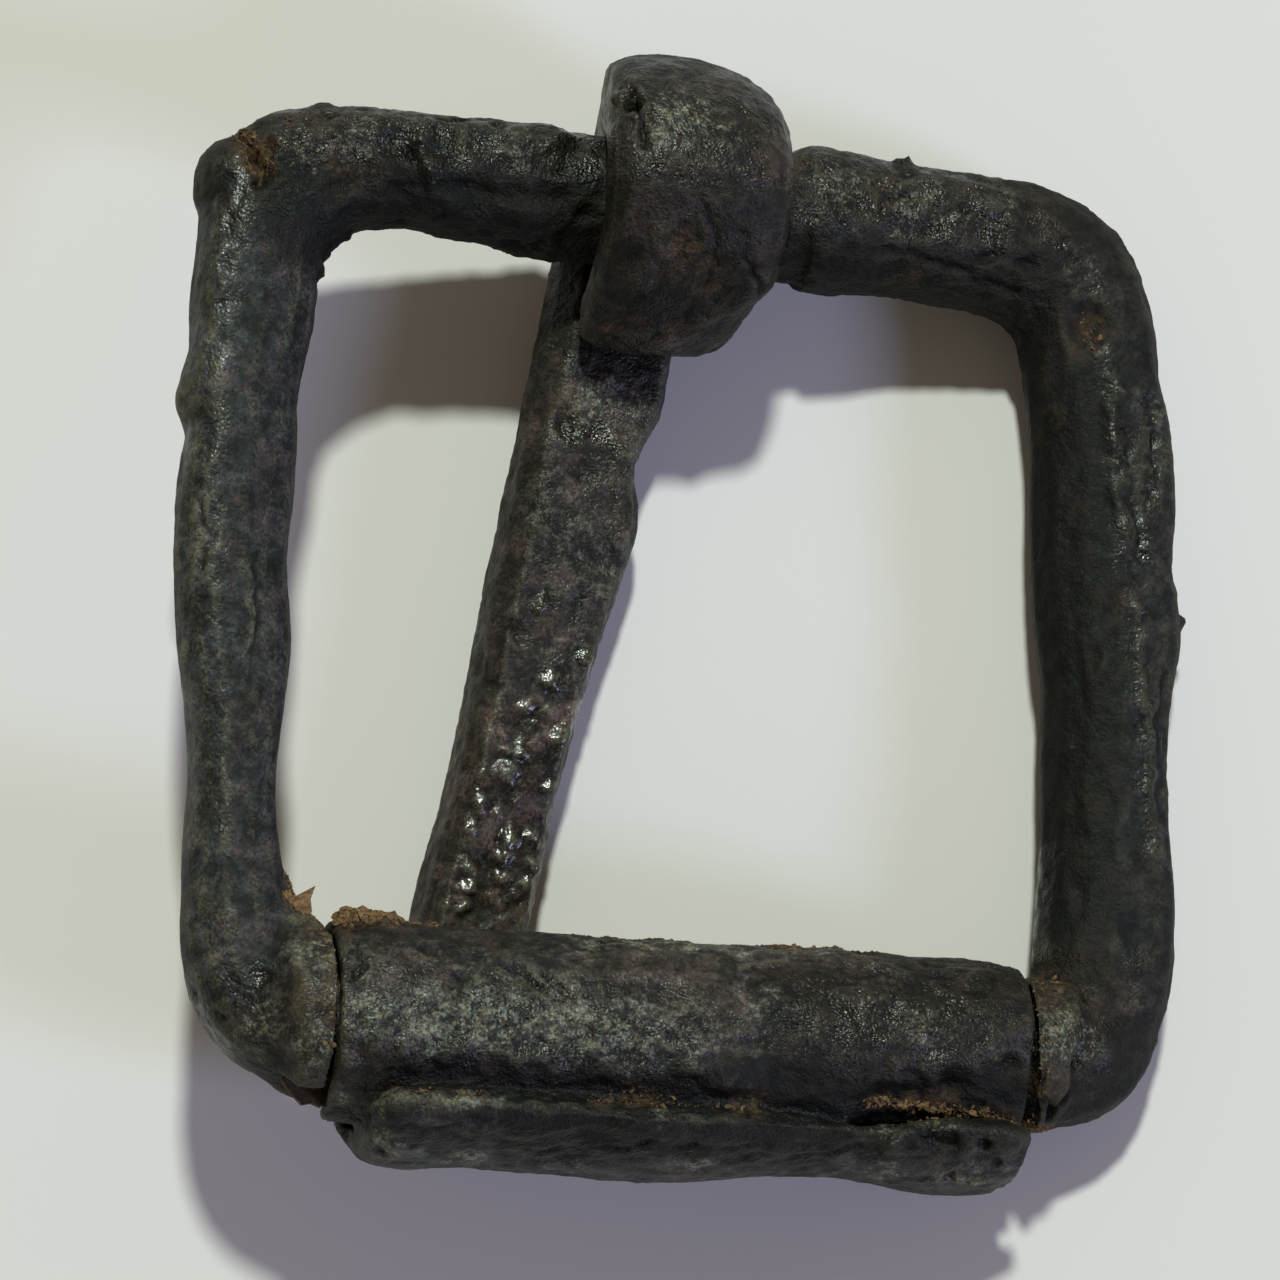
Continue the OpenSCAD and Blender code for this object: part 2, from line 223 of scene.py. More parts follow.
def spots(points, table):
    """Sum of soft round spots: each row is X, Y, Z, reach and amount."""
    total = np.zeros(len(points))
    for x, y, z, reach, amount in table:
        away = np.linalg.norm(points - np.array((x, y, z)), axis=1)
        total += amount * (1 - smooth_step(SPOT_FLAT * reach, reach, away))
    return total


def patches(points, table):
    """Sum of soft rectangles seen from the back: lowest and highest X and Y, ease and amount."""
    total = np.zeros(len(points))
    for x_low, x_high, y_low, y_high, ease, amount in table:
        inside = within(points[:, 0], x_low, x_high, ease) * within(points[:, 1], y_low, y_high, ease)
        total += amount * inside
    return total


def streaks(points, table):
    """Sum of soft bands seen from the back: each row is width, amount and a line."""
    total = np.zeros(len(points))
    for width, amount, line in table:
        total += amount * (1 - smooth_step(STREAK_FLAT * width, width, line_distance(points, line)))
    return total


def leaning_spots(points, table, lean):
    """Like spots, but each one leans, so that its flat top faces the same way as the others."""
    total = np.zeros(len(points))
    for x, y, z, reach, amount in table:
        from_middle = points - np.array((x, y, z))
        share = 1 - smooth_step(BLOB_FLAT * reach, reach, np.linalg.norm(from_middle, axis=1))
        total += share * (amount - from_middle[:, :2] @ np.array(lean))
    return total


def line_distance(points, line):
    """Distance in the plane from each point to a line through points given as X, Y."""
    flat = points[:, :2]
    nearest = np.full(len(points), FAR)
    for start, end in zip(line[:-1], line[1:]):
        a, b = np.array(start), np.array(end)
        run = b - a
        part = np.clip((flat - a) @ run / (run @ run), 0, 1)
        nearest = np.minimum(nearest, np.linalg.norm(flat - a - part[:, None] * run, axis=1))
    return nearest


# Meshes

def linked(name, data):
    """A new object in the scene that shows the data."""
    shown = bpy.data.objects.new(name, data)
    bpy.context.scene.collection.objects.link(shown)
    return shown


def fine_mesh(node):
    """The node's shape as an even mesh of small faces, in millimetres in the buckle's plane."""
    voxel, rounds = MESH_GRAIN[node]
    source = frame["nodes"][node].data.copy()
    source.transform(TO_PLANE)
    holder = linked("holder", source)
    even = holder.modifiers.new("even", "REMESH")
    even.mode = "VOXEL"
    even.voxel_size = voxel
    rounded = holder.modifiers.new("rounded", "SMOOTH")
    rounded.factor = 0.5
    rounded.iterations = rounds
    mesh = bpy.data.meshes.new_from_object(holder.evaluated_get(bpy.context.evaluated_depsgraph_get()))
    bpy.data.objects.remove(holder)
    bpy.data.meshes.remove(source)
    return mesh


def points_of(mesh):
    points = np.empty(len(mesh.vertices) * 3)
    mesh.vertices.foreach_get("co", points)
    return points.reshape(-1, 3)


def normals_of(mesh):
    normals = np.empty(len(mesh.vertices) * 3)
    mesh.vertex_normals.foreach_get("vector", normals)
    return normals.reshape(-1, 3)


def set_points(mesh, points):
    mesh.vertices.foreach_set("co", points.ravel())
    mesh.update()


def edges_of(mesh):
    edges = np.empty(len(mesh.edges) * 2, np.int64)
    mesh.edges.foreach_get("vertices", edges)
    return edges.reshape(-1, 2)


def neighbour_mean(values, edges):
    """Mean of each vertex's neighbours, for one column of values."""
    count = len(values)
    total = np.bincount(edges[:, 0], values[edges[:, 1]], count)
    total += np.bincount(edges[:, 1], values[edges[:, 0]], count)
    number = np.bincount(edges.ravel(), minlength=count)
    return total / np.maximum(number, 1)


def hollowness(mesh, rounds):
    """How far each vertex lies below its surroundings, in millimetres: hollows are above 0."""
    edges = edges_of(mesh)
    points = points_of(mesh)
    around = points.copy()
    for _ in range(rounds):
        around = np.stack([neighbour_mean(around[:, k], edges) for k in range(3)], 1)
    return np.sum((around - points) * normals_of(mesh), axis=1)


def store(mesh, name, values):
    layer = mesh.attributes.new(name, "FLOAT", "POINT")
    layer.data.foreach_set("value", values.astype(np.float32))


def placed(mesh, name, material, body, smooth=True):
    """Turns a mesh in the buckle's plane into a piece in the row frame that rides on a body."""
    mesh.transform(TO_ROW)
    points = points_of(mesh)
    points[:, 2] = np.maximum(points[:, 2], LOWEST)
    set_points(mesh, points)
    mesh.polygons.foreach_set("use_smooth", np.full(len(mesh.polygons), smooth))
    mesh.materials.clear()
    mesh.materials.append(material)
    mesh.name = name
    piece = linked(name, mesh)
    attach(piece, body)
    return piece


def axis_distance(points, y):
    return np.hypot(points[:, 1] - y, points[:, 2])


def near_axis(points, y, reach):
    """1 within reach of a turning axis, easing to 0 past it."""
    return 1 - smooth_step(reach, reach + EASE, axis_distance(points, y))


# Relief

# Sizes in millimetres of what the crust is made of
SWELL_SIZE = 3.4
FOLD_SIZE = 1.5
PIT_SIZE = 1.1
GRAIN_SIZE = 0.6
# Chance over which a cell has a pit, and the pit's bottom and rim, in cells
PIT_CHANCE = (0.7, 1.0)
PIT_SLOPE = (0.05, 0.5)
# Warps: size of their lumps and reach, in millimetres
CRUST_WARP = (2.4, 0.5)
PIT_WARP = (0.6, 0.22)
LINE_WARP = (0.9, 0.35)
BLOB_WARP = (0.5, 0.16)
BLISTER_WARP = (0.5, 0.15)
TABLE_WARP = (1.0, 0.28)
# How uneven cracks are: size, middle and swing, lowest and highest
LINE_LUMPS = 1.4
LINE_SWING = 0.9
LINE_RANGE = (0.2, 1.4)
# Slope of the surface over which cracks fade, from the side to the back
LINE_FACING = (-0.1, 0.4)


def crust(points, seed, stretch, swell, folds, pits, grain):
    """Relief of corroded iron, drawn out one way: swells, sharp folds, rare pits and grain."""
    drawn = warped(points, *CRUST_WARP, seed + 60) * np.array(stretch)
    relief = swell * noise(drawn, SWELL_SIZE, seed)
    relief += folds * layers(drawn, FOLD_SIZE, seed + 10, 3, folded=True)
    away, chance = cells(warped(drawn, *PIT_WARP, seed + 70), PIT_SIZE, seed + 20)
    relief -= pits * smooth_step(*PIT_CHANCE, chance) * (1 - smooth_step(*PIT_SLOPE, away))
    relief += grain * layers(points, GRAIN_SIZE, seed + 40, 2)
    return relief


def lines(points, normals, table):
    """Cracks and ridges seen from the back: each row is width, depth (below 0 a ridge), a line."""
    bent = warped(points, *LINE_WARP, 77)
    uneven = np.clip(LINE_SWING + LINE_SWING * noise(points, LINE_LUMPS, 78), *LINE_RANGE)
    uneven *= smooth_step(*LINE_FACING, normals[:, 2])
    relief = np.zeros(len(points))
    for width, depth, line in table:
        away = line_distance(bent, line)
        relief -= depth * (1 - smooth_step(0, width, away)) * uneven
    return relief


def collars(points):
    """Swells the frame's bar beside the roller to the roller's thickness and flattens its face."""
    out = points[:, 1:] - np.array((-AXIS_Y, 0))
    radius = np.maximum(np.linalg.norm(out, axis=1), 0.1)
    moved = points.copy()
    for side, face, reach, length, thick in COLLARS:
        past = side * points[:, 0] - face
        near = smooth_step(-0.3, 0.1, past) * (1 - smooth_step(length, length + COLLAR_EASE, past))
        inward = out[:, 0] / radius
        open_side = 1 - smooth_step(*WINDOW_SIDE, inward)
        near *= smooth_step(*OUTER_SIDE, inward) * open_side
        goal = thick + COLLAR_LUMPS * noise(points, 1.3, 63)
        grown = radius + near * smooth_step(*SWELL_FROM, radius) * np.maximum(goal - radius, 0)
        moved[:, 1:] += out * (grown / radius - 1)[:, None]
        pressed = PRESS_SHARE * smooth_step(*PRESS_FROM, radius) * (1 - smooth_step(*PRESS_TO, radius))
        pressed *= smooth_step(-0.3, 0.0, past) * (1 - smooth_step(0.3 * reach, reach, past)) * open_side
        wavy = FACE_LUMPS * noise(points, 1.6, 64)
        moved[:, 0] -= side * pressed * (past - wavy)
    return moved


def seam_faces(points, normals, relief):
    """Keeps the roller's end faces plain, and grows them a little towards the shoulders."""
    close = 1 - smooth_step(*SEAM_REACH, axis_distance(points, -AXIS_Y))
    facing_end = smooth_step(*SEAM_FACING, np.abs(normals[:, 0])) * close
    for low, high, growth in ROLLER_SEAMS:
        share = within(points[:, 0], low, high, SEAM_EASE) * facing_end
        plain = growth + SEAM_KEPT * np.clip(relief, *SEAM_RELIEF)
        relief = relief + share * (plain - relief)
    return relief


# How the material's hollow mask, which paints shade into hollows, is worked out: rounds of evening out, and
# its full depth
HOLLOW_ROUNDS = 6
HOLLOW_DEPTH = 0.06
# Masks that go from -1 to 1; the others go from 0 to 1
TWO_WAY_MASKS = ("tone_and_painted_light", "cool")


def finish_piece(mesh, name, material, body, masks):
    """Stores what the material reads and puts the piece in place of the body's node."""
    depth = hollowness(mesh, HOLLOW_ROUNDS)
    store(mesh, "hollow", np.clip(depth / HOLLOW_DEPTH, -1, 1))
    for mask, values in masks.items():
        store(mesh, mask, np.clip(values, -1 if mask in TWO_WAY_MASKS else 0, 1))
    piece = placed(mesh, name, material, body)
    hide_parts(body)
    return piece


# Frame

# The columns of each table are named where it is read, in spots, patches, lines or streaks.
# Crusts: seed, stretch along X, Y and Z, then swell, folds, pits and grain in millimetres
SIDE_BAR_CRUST = (3, (1.0, 0.4, 1.0), 0.10, 0.09, 0.30, 0.03)
CROSS_BAR_CRUST = (4, (0.6, 1.0, 1.0), 0.10, 0.12, 0.35, 0.04)
PIN_CRUST = (5, (1.0, 0.6, 1.0), 0.05, 0.06, 0.16, 0.025)
LIP_CRUST = (8, (0.3, 1.0, 1.0), 0.06, 0.10, 0.06, 0.03)
ROLLER_CRUST = (8, (0.6, 1.0, 1.0), 0.07, 0.11, 0.24, 0.04)
# The side bars: distance from the middle, and lowest and highest Y, each with its ease
SIDE_BARS_X = (18.0, 30.0, 2.0)
SIDE_BARS_Y = (-14.0, 15.0, 3.0)
# Share of the crust's relief that every place of the frame has, and what the smooth places keep
FRAME_LEAST_ROUGH = 0.42
QUIET_RELIEF = (-0.25, 0.08)
# Grit that every place has, before the tables
FRAME_BASE_GRIT = 0.35
BASE_GRIT = 0.45
FRAME_ROUGH = [
    [-19.5, -5.6, 14.0, 25.0, 1.5, 0.8],
    [4.6, 16.0, 14.0, 25.0, 1.5, 0.6],
    [19.6, 26.0, -14.0, 16.0, 1.0, 0.25],
    [-22.0, -15.6, -24.0, -17.0, 1.5, 0.15],
    [15.0, 26.0, -26.0, -15.0, 1.5, 0.2],
]
FRAME_BUMPS = [
    [-21.2, 19.8, 1.6, 1.6, 0.12],
    [-20.3, 19.5, 2.6, 0.9, -0.55],
    [-20.0, 18.4, 2.7, 0.8, -0.35],
    [-13.8, 20.4, 2.6, 1.4, -0.42],
    [-12.7, 19.2, 2.8, 1.1, 0.25],
    [-12.0, 20.6, 2.5, 1.1, -0.35],
    [-10.4, 18.4, 2.4, 1.3, -0.35],
    [-14.8, 18.9, 2.8, 1.0, 0.2],
    [-17.3, 22.1, 1.2, 0.8, 0.18],
    [-8.2, 20.4, 2.5, 1.4, 0.15],
    [-16.4, 15.6, 0.3, 0.6, 0.3],
    [-15.7, 16.5, 0.2, 0.5, 0.3],
    [-16.8, 14.8, 0.3, 0.5, 0.25],
    [10.3, 22.2, 1.3, 0.3, 0.32],
    [9.85, 22.2, 1.4, 0.3, 0.25],
    [14.9, 21.5, 1.8, 0.8, -0.25],
    [18.9, 14.9, 2.5, 1.5, -0.4],
    [19.0, 14.2, 2.5, 0.5, 0.18],
    [21.9, 9.0, 2.2, 0.7, -0.25],
    [22.05, 7.4, 2.2, 0.5, -0.3],
    [22.6, 7.9, 1.7, 0.5, 0.12],
    [23.3, 2.6, 1.0, 1.0, 0.12],
    [23.6, 1.5, 1.0, 0.6, 0.45],
    [23.4, 3.8, 1.0, 0.3, 0.3],
    [21.4, -13.6, 2.5, 1.4, -0.2],
    [19.4, -18.3, 2.6, 1.6, 0.15],
    [17.6, -21.2, 2.0, 0.8, -0.45],
    [19.6, -19.8, 2.0, 0.9, -0.25],
    [-20.7, -14.7, 2.2, 1.6, 0.15],
    [-18.2, -20.2, 2.4, 2.0, 0.2],
    [-19.4, -8.6, 2.1, 1.3, -0.15],
    [-22.9, 8.0, 0.6, 1.2, 0.2],
    [-22.8, 4.6, 0.6, 1.1, -0.15],
    [-22.6, 0.8, 0.8, 1.2, 0.12],
    [-22.3, -3.6, 0.8, 0.9, 0.15],
    [-16.3, -22.6, 0.6, 1.3, 0.35],
    [-16.9, -15.1, 1.6, 1.3, 0.35],
    [-17.4, -13.6, 0.9, 0.9, 0.25],
]
FRAME_LINES = [
    [0.38, 0.5, [(-21.4, 20.9), (-20.6, 19.8), (-20.25, 18.9), (-20.1, 18.0)]],
    [0.26, 0.4, [(21.9, 10.4), (22.25, 9.2), (22.15, 8.2)]],
    [0.34, 0.20, [(20.7, 10.2), (21.0, 8.2), (21.05, 6.0), (21.4, 4.4)]],
    [0.70, -0.14, [(20.1, 12.4), (20.2, 10.4), (20.4, 8.0), (20.6, 6.0), (21.1, 4.4)]],
    [0.40, -0.14, [(21.4, 1.6), (21.5, -1.2), (21.9, -3.6), (22.1, -6.6), (22.4, -9.6)]],
    [0.35, 0.20, [(22.6, -1.0), (22.5, -4.4), (22.7, -8.0)]],
    [0.28, 0.22, [(-13.4, 20.4), (-13.0, 19.2), (-12.3, 18.1)]],
    [0.26, 0.30, [(8.5, 20.2), (10.4, 20.3), (12.6, 19.9), (14.6, 19.6)]],
    [0.30, 0.18, [(9.0, 17.6), (12.0, 17.3), (15.4, 16.4)]],
    [0.30, 0.25, [(16.8, -16.0), (17.2, -17.6), (17.0, -19.4), (17.3, -21.6)]],
    [0.22, 0.16, [(-22.2, 3.0), (-21.7, 1.6), (-21.8, 0.0)]],
    [0.25, 0.14, [(-19.6, 1.0), (-19.4, -2.0), (-19.5, -5.0)]],
    [0.40, -0.10, [(-21.9, 17.0), (-21.8, 13.6), (-22.0, 10.6)]],
    [1.1, -0.22, [(-18.4, 20.7), (-15.0, 21.1), (-11.0, 21.4), (-6.6, 21.4)]],
    [0.9, 0.20, [(-18.0, 18.6), (-14.6, 18.6), (-10.6, 18.6), (-6.6, 18.4)]],
]
FRAME_RUST = [
    [-20.6, 19.6, 2.3, 1.4, 1.0],
    [-20.1, 18.6, 2.6, 1.0, 0.8],
    [-21.0, 20.8, 1.5, 0.9, 0.9],
    [-17.2, 20.7, 2.4, 1.6, 0.25],
    [-16.4, 18.7, 2.8, 1.6, 0.3],
    [-17.3, -14.4, 0.8, 1.6, 1.0],
    [-16.4, -16.0, 2.2, 1.8, 0.6],
    [-16.2, -18.6, 3.8, 2.4, 0.5],
    [17.0, -17.6, 3.4, 1.6, 0.5],
    [17.0, -20.6, 3.2, 1.6, 0.5],
    [4.9, 21.4, 2.4, 1.4, 0.5],
    [9.2, 20.4, 2.7, 1.4, 0.45],
    [19.0, 14.5, 2.5, 1.6, 0.6],
    [17.5, -16.0, 1.5, 1.6, 0.8],
    [18.6, -17.0, 2.4, 2.0, 0.3],
    [17.4, -22.0, 0.8, 1.4, 1.0],
    [20.5, 2.0, 2.3, 1.4, 0.25],
]
# Pale places of the frame: the iron's own pale grains, laid partly where the strap bar's upper side, the
# right bar's outer side and the corners catch the light, as painted highlights
FRAME_PALE_AND_HIGHLIGHT = [
    [-18.2, 19.4, 2.8, 1.6, 0.8],
    [-15.6, 20.2, 2.8, 2.4, 0.7],
    [-12.0, 21.0, 2.6, 2.4, 0.6],
    [-12.4, 18.9, 2.8, 0.9, 0.8],
    [-8.6, 20.8, 2.6, 2.2, 0.7],
    [7.0, 20.4, 2.9, 2.4, 0.8],
    [10.6, 19.8, 2.9, 2.6, 0.7],
    [14.6, 21.0, 2.2, 1.4, 0.7],
    [18.6, 17.4, 2.5, 1.8, 0.5],
    [19.0, 14.2, 2.6, 0.6, 0.8],
    [20.2, 12.0, 2.5, 0.8, 0.8],
    [21.9, 11.2, 2.2, 1.2, 0.8],
    [20.5, 8.4, 2.5, 1.4, 0.5],
    [22.0, 7.5, 2.2, 0.8, 0.9],
    [21.4, 4.8, 2.4, 1.0, 0.6],
    [18.6, -18.4, 2.5, 2.0, 1.0],
    [17.2, -18.8, 3.4, 1.8, 1.0],
    [-16.2, -17.0, 3.4, 1.6, 0.9],
    [-16.2, -20.6, 3.4, 1.6, 0.9],
    [-18.4, -19.9, 2.3, 1.8, 0.8],
    [-16.2, -18.8, 3.9, 1.4, 0.6],
    [-20.6, -14.8, 2.2, 1.6, 0.3],
    [-21.6, 15.0, 2.3, 1.6, 0.3],
    [-21.5, 10.0, 2.3, 1.4, 0.3],
]
# Lighter and darker places of the frame's colour: besides the iron's own tone, the lower halves of the strap
# bar and the inner side of the right bar are darkened as painted shade, and the right bar's outer side is
# lightened as a painted highlight
FRAME_TONE_AND_PAINTED_LIGHT = [
    [-26.0, -17.6, -16.0, 14.0, 3.0, 0.75],
    [-26.0, -21.4, -14.0, 12.0, 0.8, 0.2],
    [-22.0, -15.0, -24.0, -16.0, 1.5, 0.5],
    [-19.0, -5.0, 15.0, 19.2, 1.2, -0.9],
    [-14.6, -11.6, 18.6, 21.4, 0.5, -0.5],
    [16.6, 20.3, -13.0, 12.0, 1.0, -0.65],
    [20.4, 26.0, -14.0, 12.0, 0.8, 0.25],
    [4.6, 17.0, 14.0, 17.6, 1.0, -0.4],
    [19.0, 24.0, -22.0, -16.6, 1.0, -0.2],
    [20.6, 22.4, -17.0, -15.6, 0.4, 0.7],
]
FRAME_COOL = [
    [-18.0, 17.0, 14.0, 25.0, 2.0, -0.5],
    [-26.0, -17.6, -18.0, 18.0, 3.0, 0.9],
    [20.0, 26.0, -14.0, 14.0, 1.0, 0.5],
    [-22.0, -16.0, -24.0, -17.0, 2.0, -0.2],
    [15.0, 20.0, -22.0, -15.0, 2.0, -0.6],
]
FRAME_GLOSS = [
    [-19.4, -5.0, 19.8, 24.0, 0.8, 0.65],
    [-6.2, -4.0, 20.2, 21.6, 0.4, 0.5],
    [5.0, 14.6, 18.6, 22.6, 1.0, 0.7],
    [15.6, 19.6, -19.6, -16.6, 1.0, 0.55],
    [-21.0, -15.6, -20.8, -18.0, 1.0, 0.7],
    [-24.0, -15.0, 14.0, 19.0, 1.0, 0.1],
]
FRAME_GLOSS_STREAKS = [
    [1.3, 0.50, [(-21.3, 18.6), (-21.4, 15.0), (-21.9, 11.0), (-22.0, 6.0)]],
    [1.3, 0.35, [(-22.0, 6.0), (-21.6, 0.0), (-21.4, -6.0), (-21.0, -12.0)]],
    [0.9, 0.45, [(19.9, 13.4), (20.3, 11.0), (20.5, 8.4), (20.9, 5.6)]],
    [1.0, 0.40, [(20.9, 5.6), (21.4, 2.0), (21.6, -2.0), (21.9, -6.0), (22.3, -9.6)]],
    [0.8, 0.60, [(21.6, 11.6), (22.0, 9.4), (22.1, 6.8), (21.8, 4.4)]],
    [1.0, 0.60, [(16.4, 19.6), (18.2, 17.9), (19.2, 16.6)]],
    [0.9, 0.30, [(21.4, -14.6), (21.6, -16.0), (21.2, -17.4)]],
    [0.5, 0.70, [(17.9, -9.6), (17.6, -12.0), (17.5, -14.4)]],
]
FRAME_GRIT = [
    [-19.6, -5.0, 14.0, 25.0, 1.5, 0.55],
    [4.6, 16.6, 14.0, 25.0, 1.5, 0.5],
    [15.0, 25.0, -25.0, -15.0, 1.5, 0.6],
    [-22.0, -15.0, -25.0, -16.0, 1.5, 0.2],
]


def scattered_rust(points, strength, size, seed):
    """Thin rust in places that no table names."""
    return strength * smooth_step(0.35, 0.8, noise(points, size, seed))


def frame_iron(material):
    mesh = fine_mesh("frame")
    points = points_of(mesh)
    normals = normals_of(mesh)
    bent = warped(points, *TABLE_WARP, 70)
    side_bars = within(np.abs(points[:, 0]), *SIDE_BARS_X) * within(points[:, 1], *SIDE_BARS_Y)
    rough = FRAME_LEAST_ROUGH + patches(points, FRAME_ROUGH)
    drawn_up = crust(points, *SIDE_BAR_CRUST)
    drawn_across = crust(points, *CROSS_BAR_CRUST)
    relief = rough * (side_bars * drawn_up + (1 - side_bars) * drawn_across)
    relief += spots(bent, FRAME_BUMPS)
    relief += lines(points, normals, FRAME_LINES)
    in_eye = within(points[:, 0], *EYE_SPAN, 0.3) * near_axis(points, AXIS_Y, BAR_REACH)
    in_roller = within(points[:, 0], *ROLLER_SPAN, 0.2) * near_axis(points, -AXIS_Y, BAR_REACH)
    quiet = np.clip(relief, *QUIET_RELIEF)
    relief = relief + np.maximum(in_eye, in_roller) * (quiet - relief)
    set_points(mesh, collars(points + normals * relief[:, None]))
    rust = spots(bent, FRAME_RUST) + scattered_rust(points, 0.2, 2.6, 90)
    masks = {"rust": rust, "pale": spots(bent, FRAME_PALE_AND_HIGHLIGHT)}
    masks["gloss"] = patches(bent, FRAME_GLOSS) + streaks(bent, FRAME_GLOSS_STREAKS)
    masks["grit"] = FRAME_BASE_GRIT + patches(bent, FRAME_GRIT)
    masks["tone_and_painted_light"] = patches(bent, FRAME_TONE_AND_PAINTED_LIGHT)
    masks["cool"] = patches(bent, FRAME_COOL)
    return finish_piece(mesh, "frame_iron", material, "frame", masks)


# Pin

PIN_BUMPS = [
    [-3.9, 22.4, 5.7, 0.55, -0.75],
    [-3.5, 21.6, 6.0, 0.5, 0.2],
    [-4.3, 22.9, 5.0, 0.5, 0.25],
    [-2.4, 16.2, 5.5, 1.3, 0.2],
    [-1.4, 16.0, 5.5, 1.2, -0.2],
    [0.7, 14.5, 3.9, 1.1, -0.2],
    [2.8, 15.2, 3.6, 1.3, 0.2],
    [-3.2, 14.6, 4.2, 1.3, 0.25],
    [0.4, 13.4, 2.4, 1.0, 0.3],
    [-2.8, 11.5, -2.8, 0.9, 0.25],
    [-4.7, 9.7, -2.9, 0.9, -0.25],
    [-1.4, 8.6, -2.9, 1.2, 0.2],
    [-3.7, 7.4, -3.1, 1.1, -0.2],
    [-2.2, 3.3, -3.3, 1.2, -0.2],
    [-5.6, 4.6, -3.2, 1.0, 0.18],
]
PIN_BLOBS = [
    [-6.2, -5.7, -4.2, 0.75, 0.10],
    [-6.6, -6.6, -4.2, 0.8, 0.12],
    [-6.3, -9.7, -4.5, 0.7, 0.12],
    [-6.7, -10.5, -4.6, 0.8, 0.14],
    [-6.6, -11.4, -4.6, 0.7, 0.12],
    [-5.3, -9.5, -4.5, 0.55, 0.10],
    [-5.0, -10.9, -4.6, 0.6, 0.12],
    [-5.4, -11.8, -4.6, 0.45, 0.08],
    [-8.0, -11.3, -4.7, 0.5, 0.12],
    [-8.1, -12.1, -4.7, 0.6, 0.12],
    [-8.3, -12.9, -4.8, 0.55, 0.12],
    [-7.7, -8.1, -4.3, 0.45, 0.12],
    [-8.0, -9.5, -4.4, 0.4, 0.10],
    [-4.2, -4.8, -4.1, 0.8, 0.12],
    [-4.8, -2.2, -3.9, 0.8, 0.10],
    [-3.2, -1.2, -3.7, 0.6, 0.10],
    [-5.4, 1.2, -3.6, 0.7, 0.08],
    [-4.6, -7.3, -4.3, 0.5, 0.10],
    [-5.9, -3.6, -4.0, 0.5, 0.08],
    [-6.6, 0.6, -3.6, 0.5, 0.06],
]
# How far the wet blobs lean, along X and Y
BLOB_LEAN = (-0.20, 0.22)
PIN_LINES = [
    [0.20, 0.4, [(-3.9, 23.4), (-3.75, 22.3), (-3.5, 21.0), (-3.55, 20.2)]],
    [0.30, -0.18, [(-3.4, 23.4), (-3.2, 22.0), (-3.1, 20.4)]],
    [0.22, 0.14, [(1.3, 16.6), (2.0, 15.4), (3.0, 14.6)]],
    [0.22, 0.12, [(-0.4, 17.6), (0.2, 16.0), (0.3, 14.8)]],
]
PIN_RUST = [
    [-1.4, 16.0, 5.5, 1.6, 0.6],
    [0.3, 15.2, 4.8, 1.2, 0.35],
    [0.7, 14.5, 3.9, 1.1, 0.5],
    [-3.6, 13.2, 0.9, 0.5, 0.9],
    [-0.6, 13.0, 1.2, 0.6, 0.9],
    [-4.9, 10.4, -2.8, 1.4, 0.4],
    [-5.4, 12.0, -2.6, 1.0, 0.5],
    [3.0, 20.4, 5.2, 1.5, 0.25],
]
# Pale places of the pin: its own pale grains, and on the top of the eye partly a painted highlight
PIN_PALE_AND_HIGHLIGHT = [
    [-2.2, 22.0, 6.2, 2.4, 0.8],
    [-0.4, 21.4, 6.6, 2.4, 0.6],
    [-3.0, 20.4, 6.6, 1.2, 0.6],
    [-3.4, 10.6, -2.8, 2.2, 0.9],
    [-1.2, 10.4, -2.8, 1.4, 0.5],
    [-5.0, 5.2, -3.1, 2.6, 0.5],
    [-3.0, 3.0, -3.5, 3.2, 0.4],
    [-4.0, -1.4, -3.7, 2.6, 0.4],
]
PIN_WET = [
    [-3.6, -3.2, -3.9, 2.4, 0.8],
    [-5.4, -5.4, -4.1, 2.6, 1.0],
    [-5.4, -9.4, -4.5, 3.0, 1.0],
    [-7.4, -8.0, -4.4, 2.6, 1.0],
    [-8.2, -12.2, -4.7, 2.2, 1.0],
    [-5.6, -12.2, -4.6, 2.2, 0.8],
]
PIN_TONE = [
    [-12.0, 2.0, -4.0, 12.0, 1.5, 0.65],
    [-12.0, 2.0, -14.0, -4.0, 1.5, 0.8],
    [-5.0, 4.4, 13.0, 19.0, 1.5, 0.1],
    [-5.0, 4.4, 19.0, 25.0, 1.0, 0.3],
]
PIN_COOL = [
    [-5.0, 4.4, 13.0, 25.0, 1.0, -0.4],
    [-12.0, 2.0, -6.0, 10.0, 2.0, -0.3],
    [-12.0, 2.0, -14.0, -5.0, 2.0, -0.6],
]
PIN_GLOSS = [
    [-5.0, 4.4, 19.4, 25.0, 1.0, 0.6],
    [-5.0, 4.4, 13.0, 19.0, 1.0, 0.2],
    [-12.0, 2.0, -14.0, 9.0, 1.0, 0.35],
    [-5.0, 0.0, 9.0, 12.5, 0.8, 0.5],
]
PIN_GRIT = [
    [-5.0, 4.4, 13.0, 25.0, 1.0, 0.3],
    [-12.0, 2.0, 2.0, 13.0, 3.0, 0.25],
    [-12.0, 2.0, -16.0, -3.0, 3.0, -0.3],
]


# Where the shaft goes under the roller, by Y
UNDER_ROLLER = (-14.6, -13.8)
# Blisters on wet places: size and height in millimetres, and the share of cells without one
BLISTER_SIZE = 0.8
BLISTER_HEIGHT = 0.10
BLISTER_FREE = 0.45
# Gloss of wet places, and the blob height that is fully glossy
WET_GLOSS = 0.7
GLOSSY_HEIGHT = 0.12


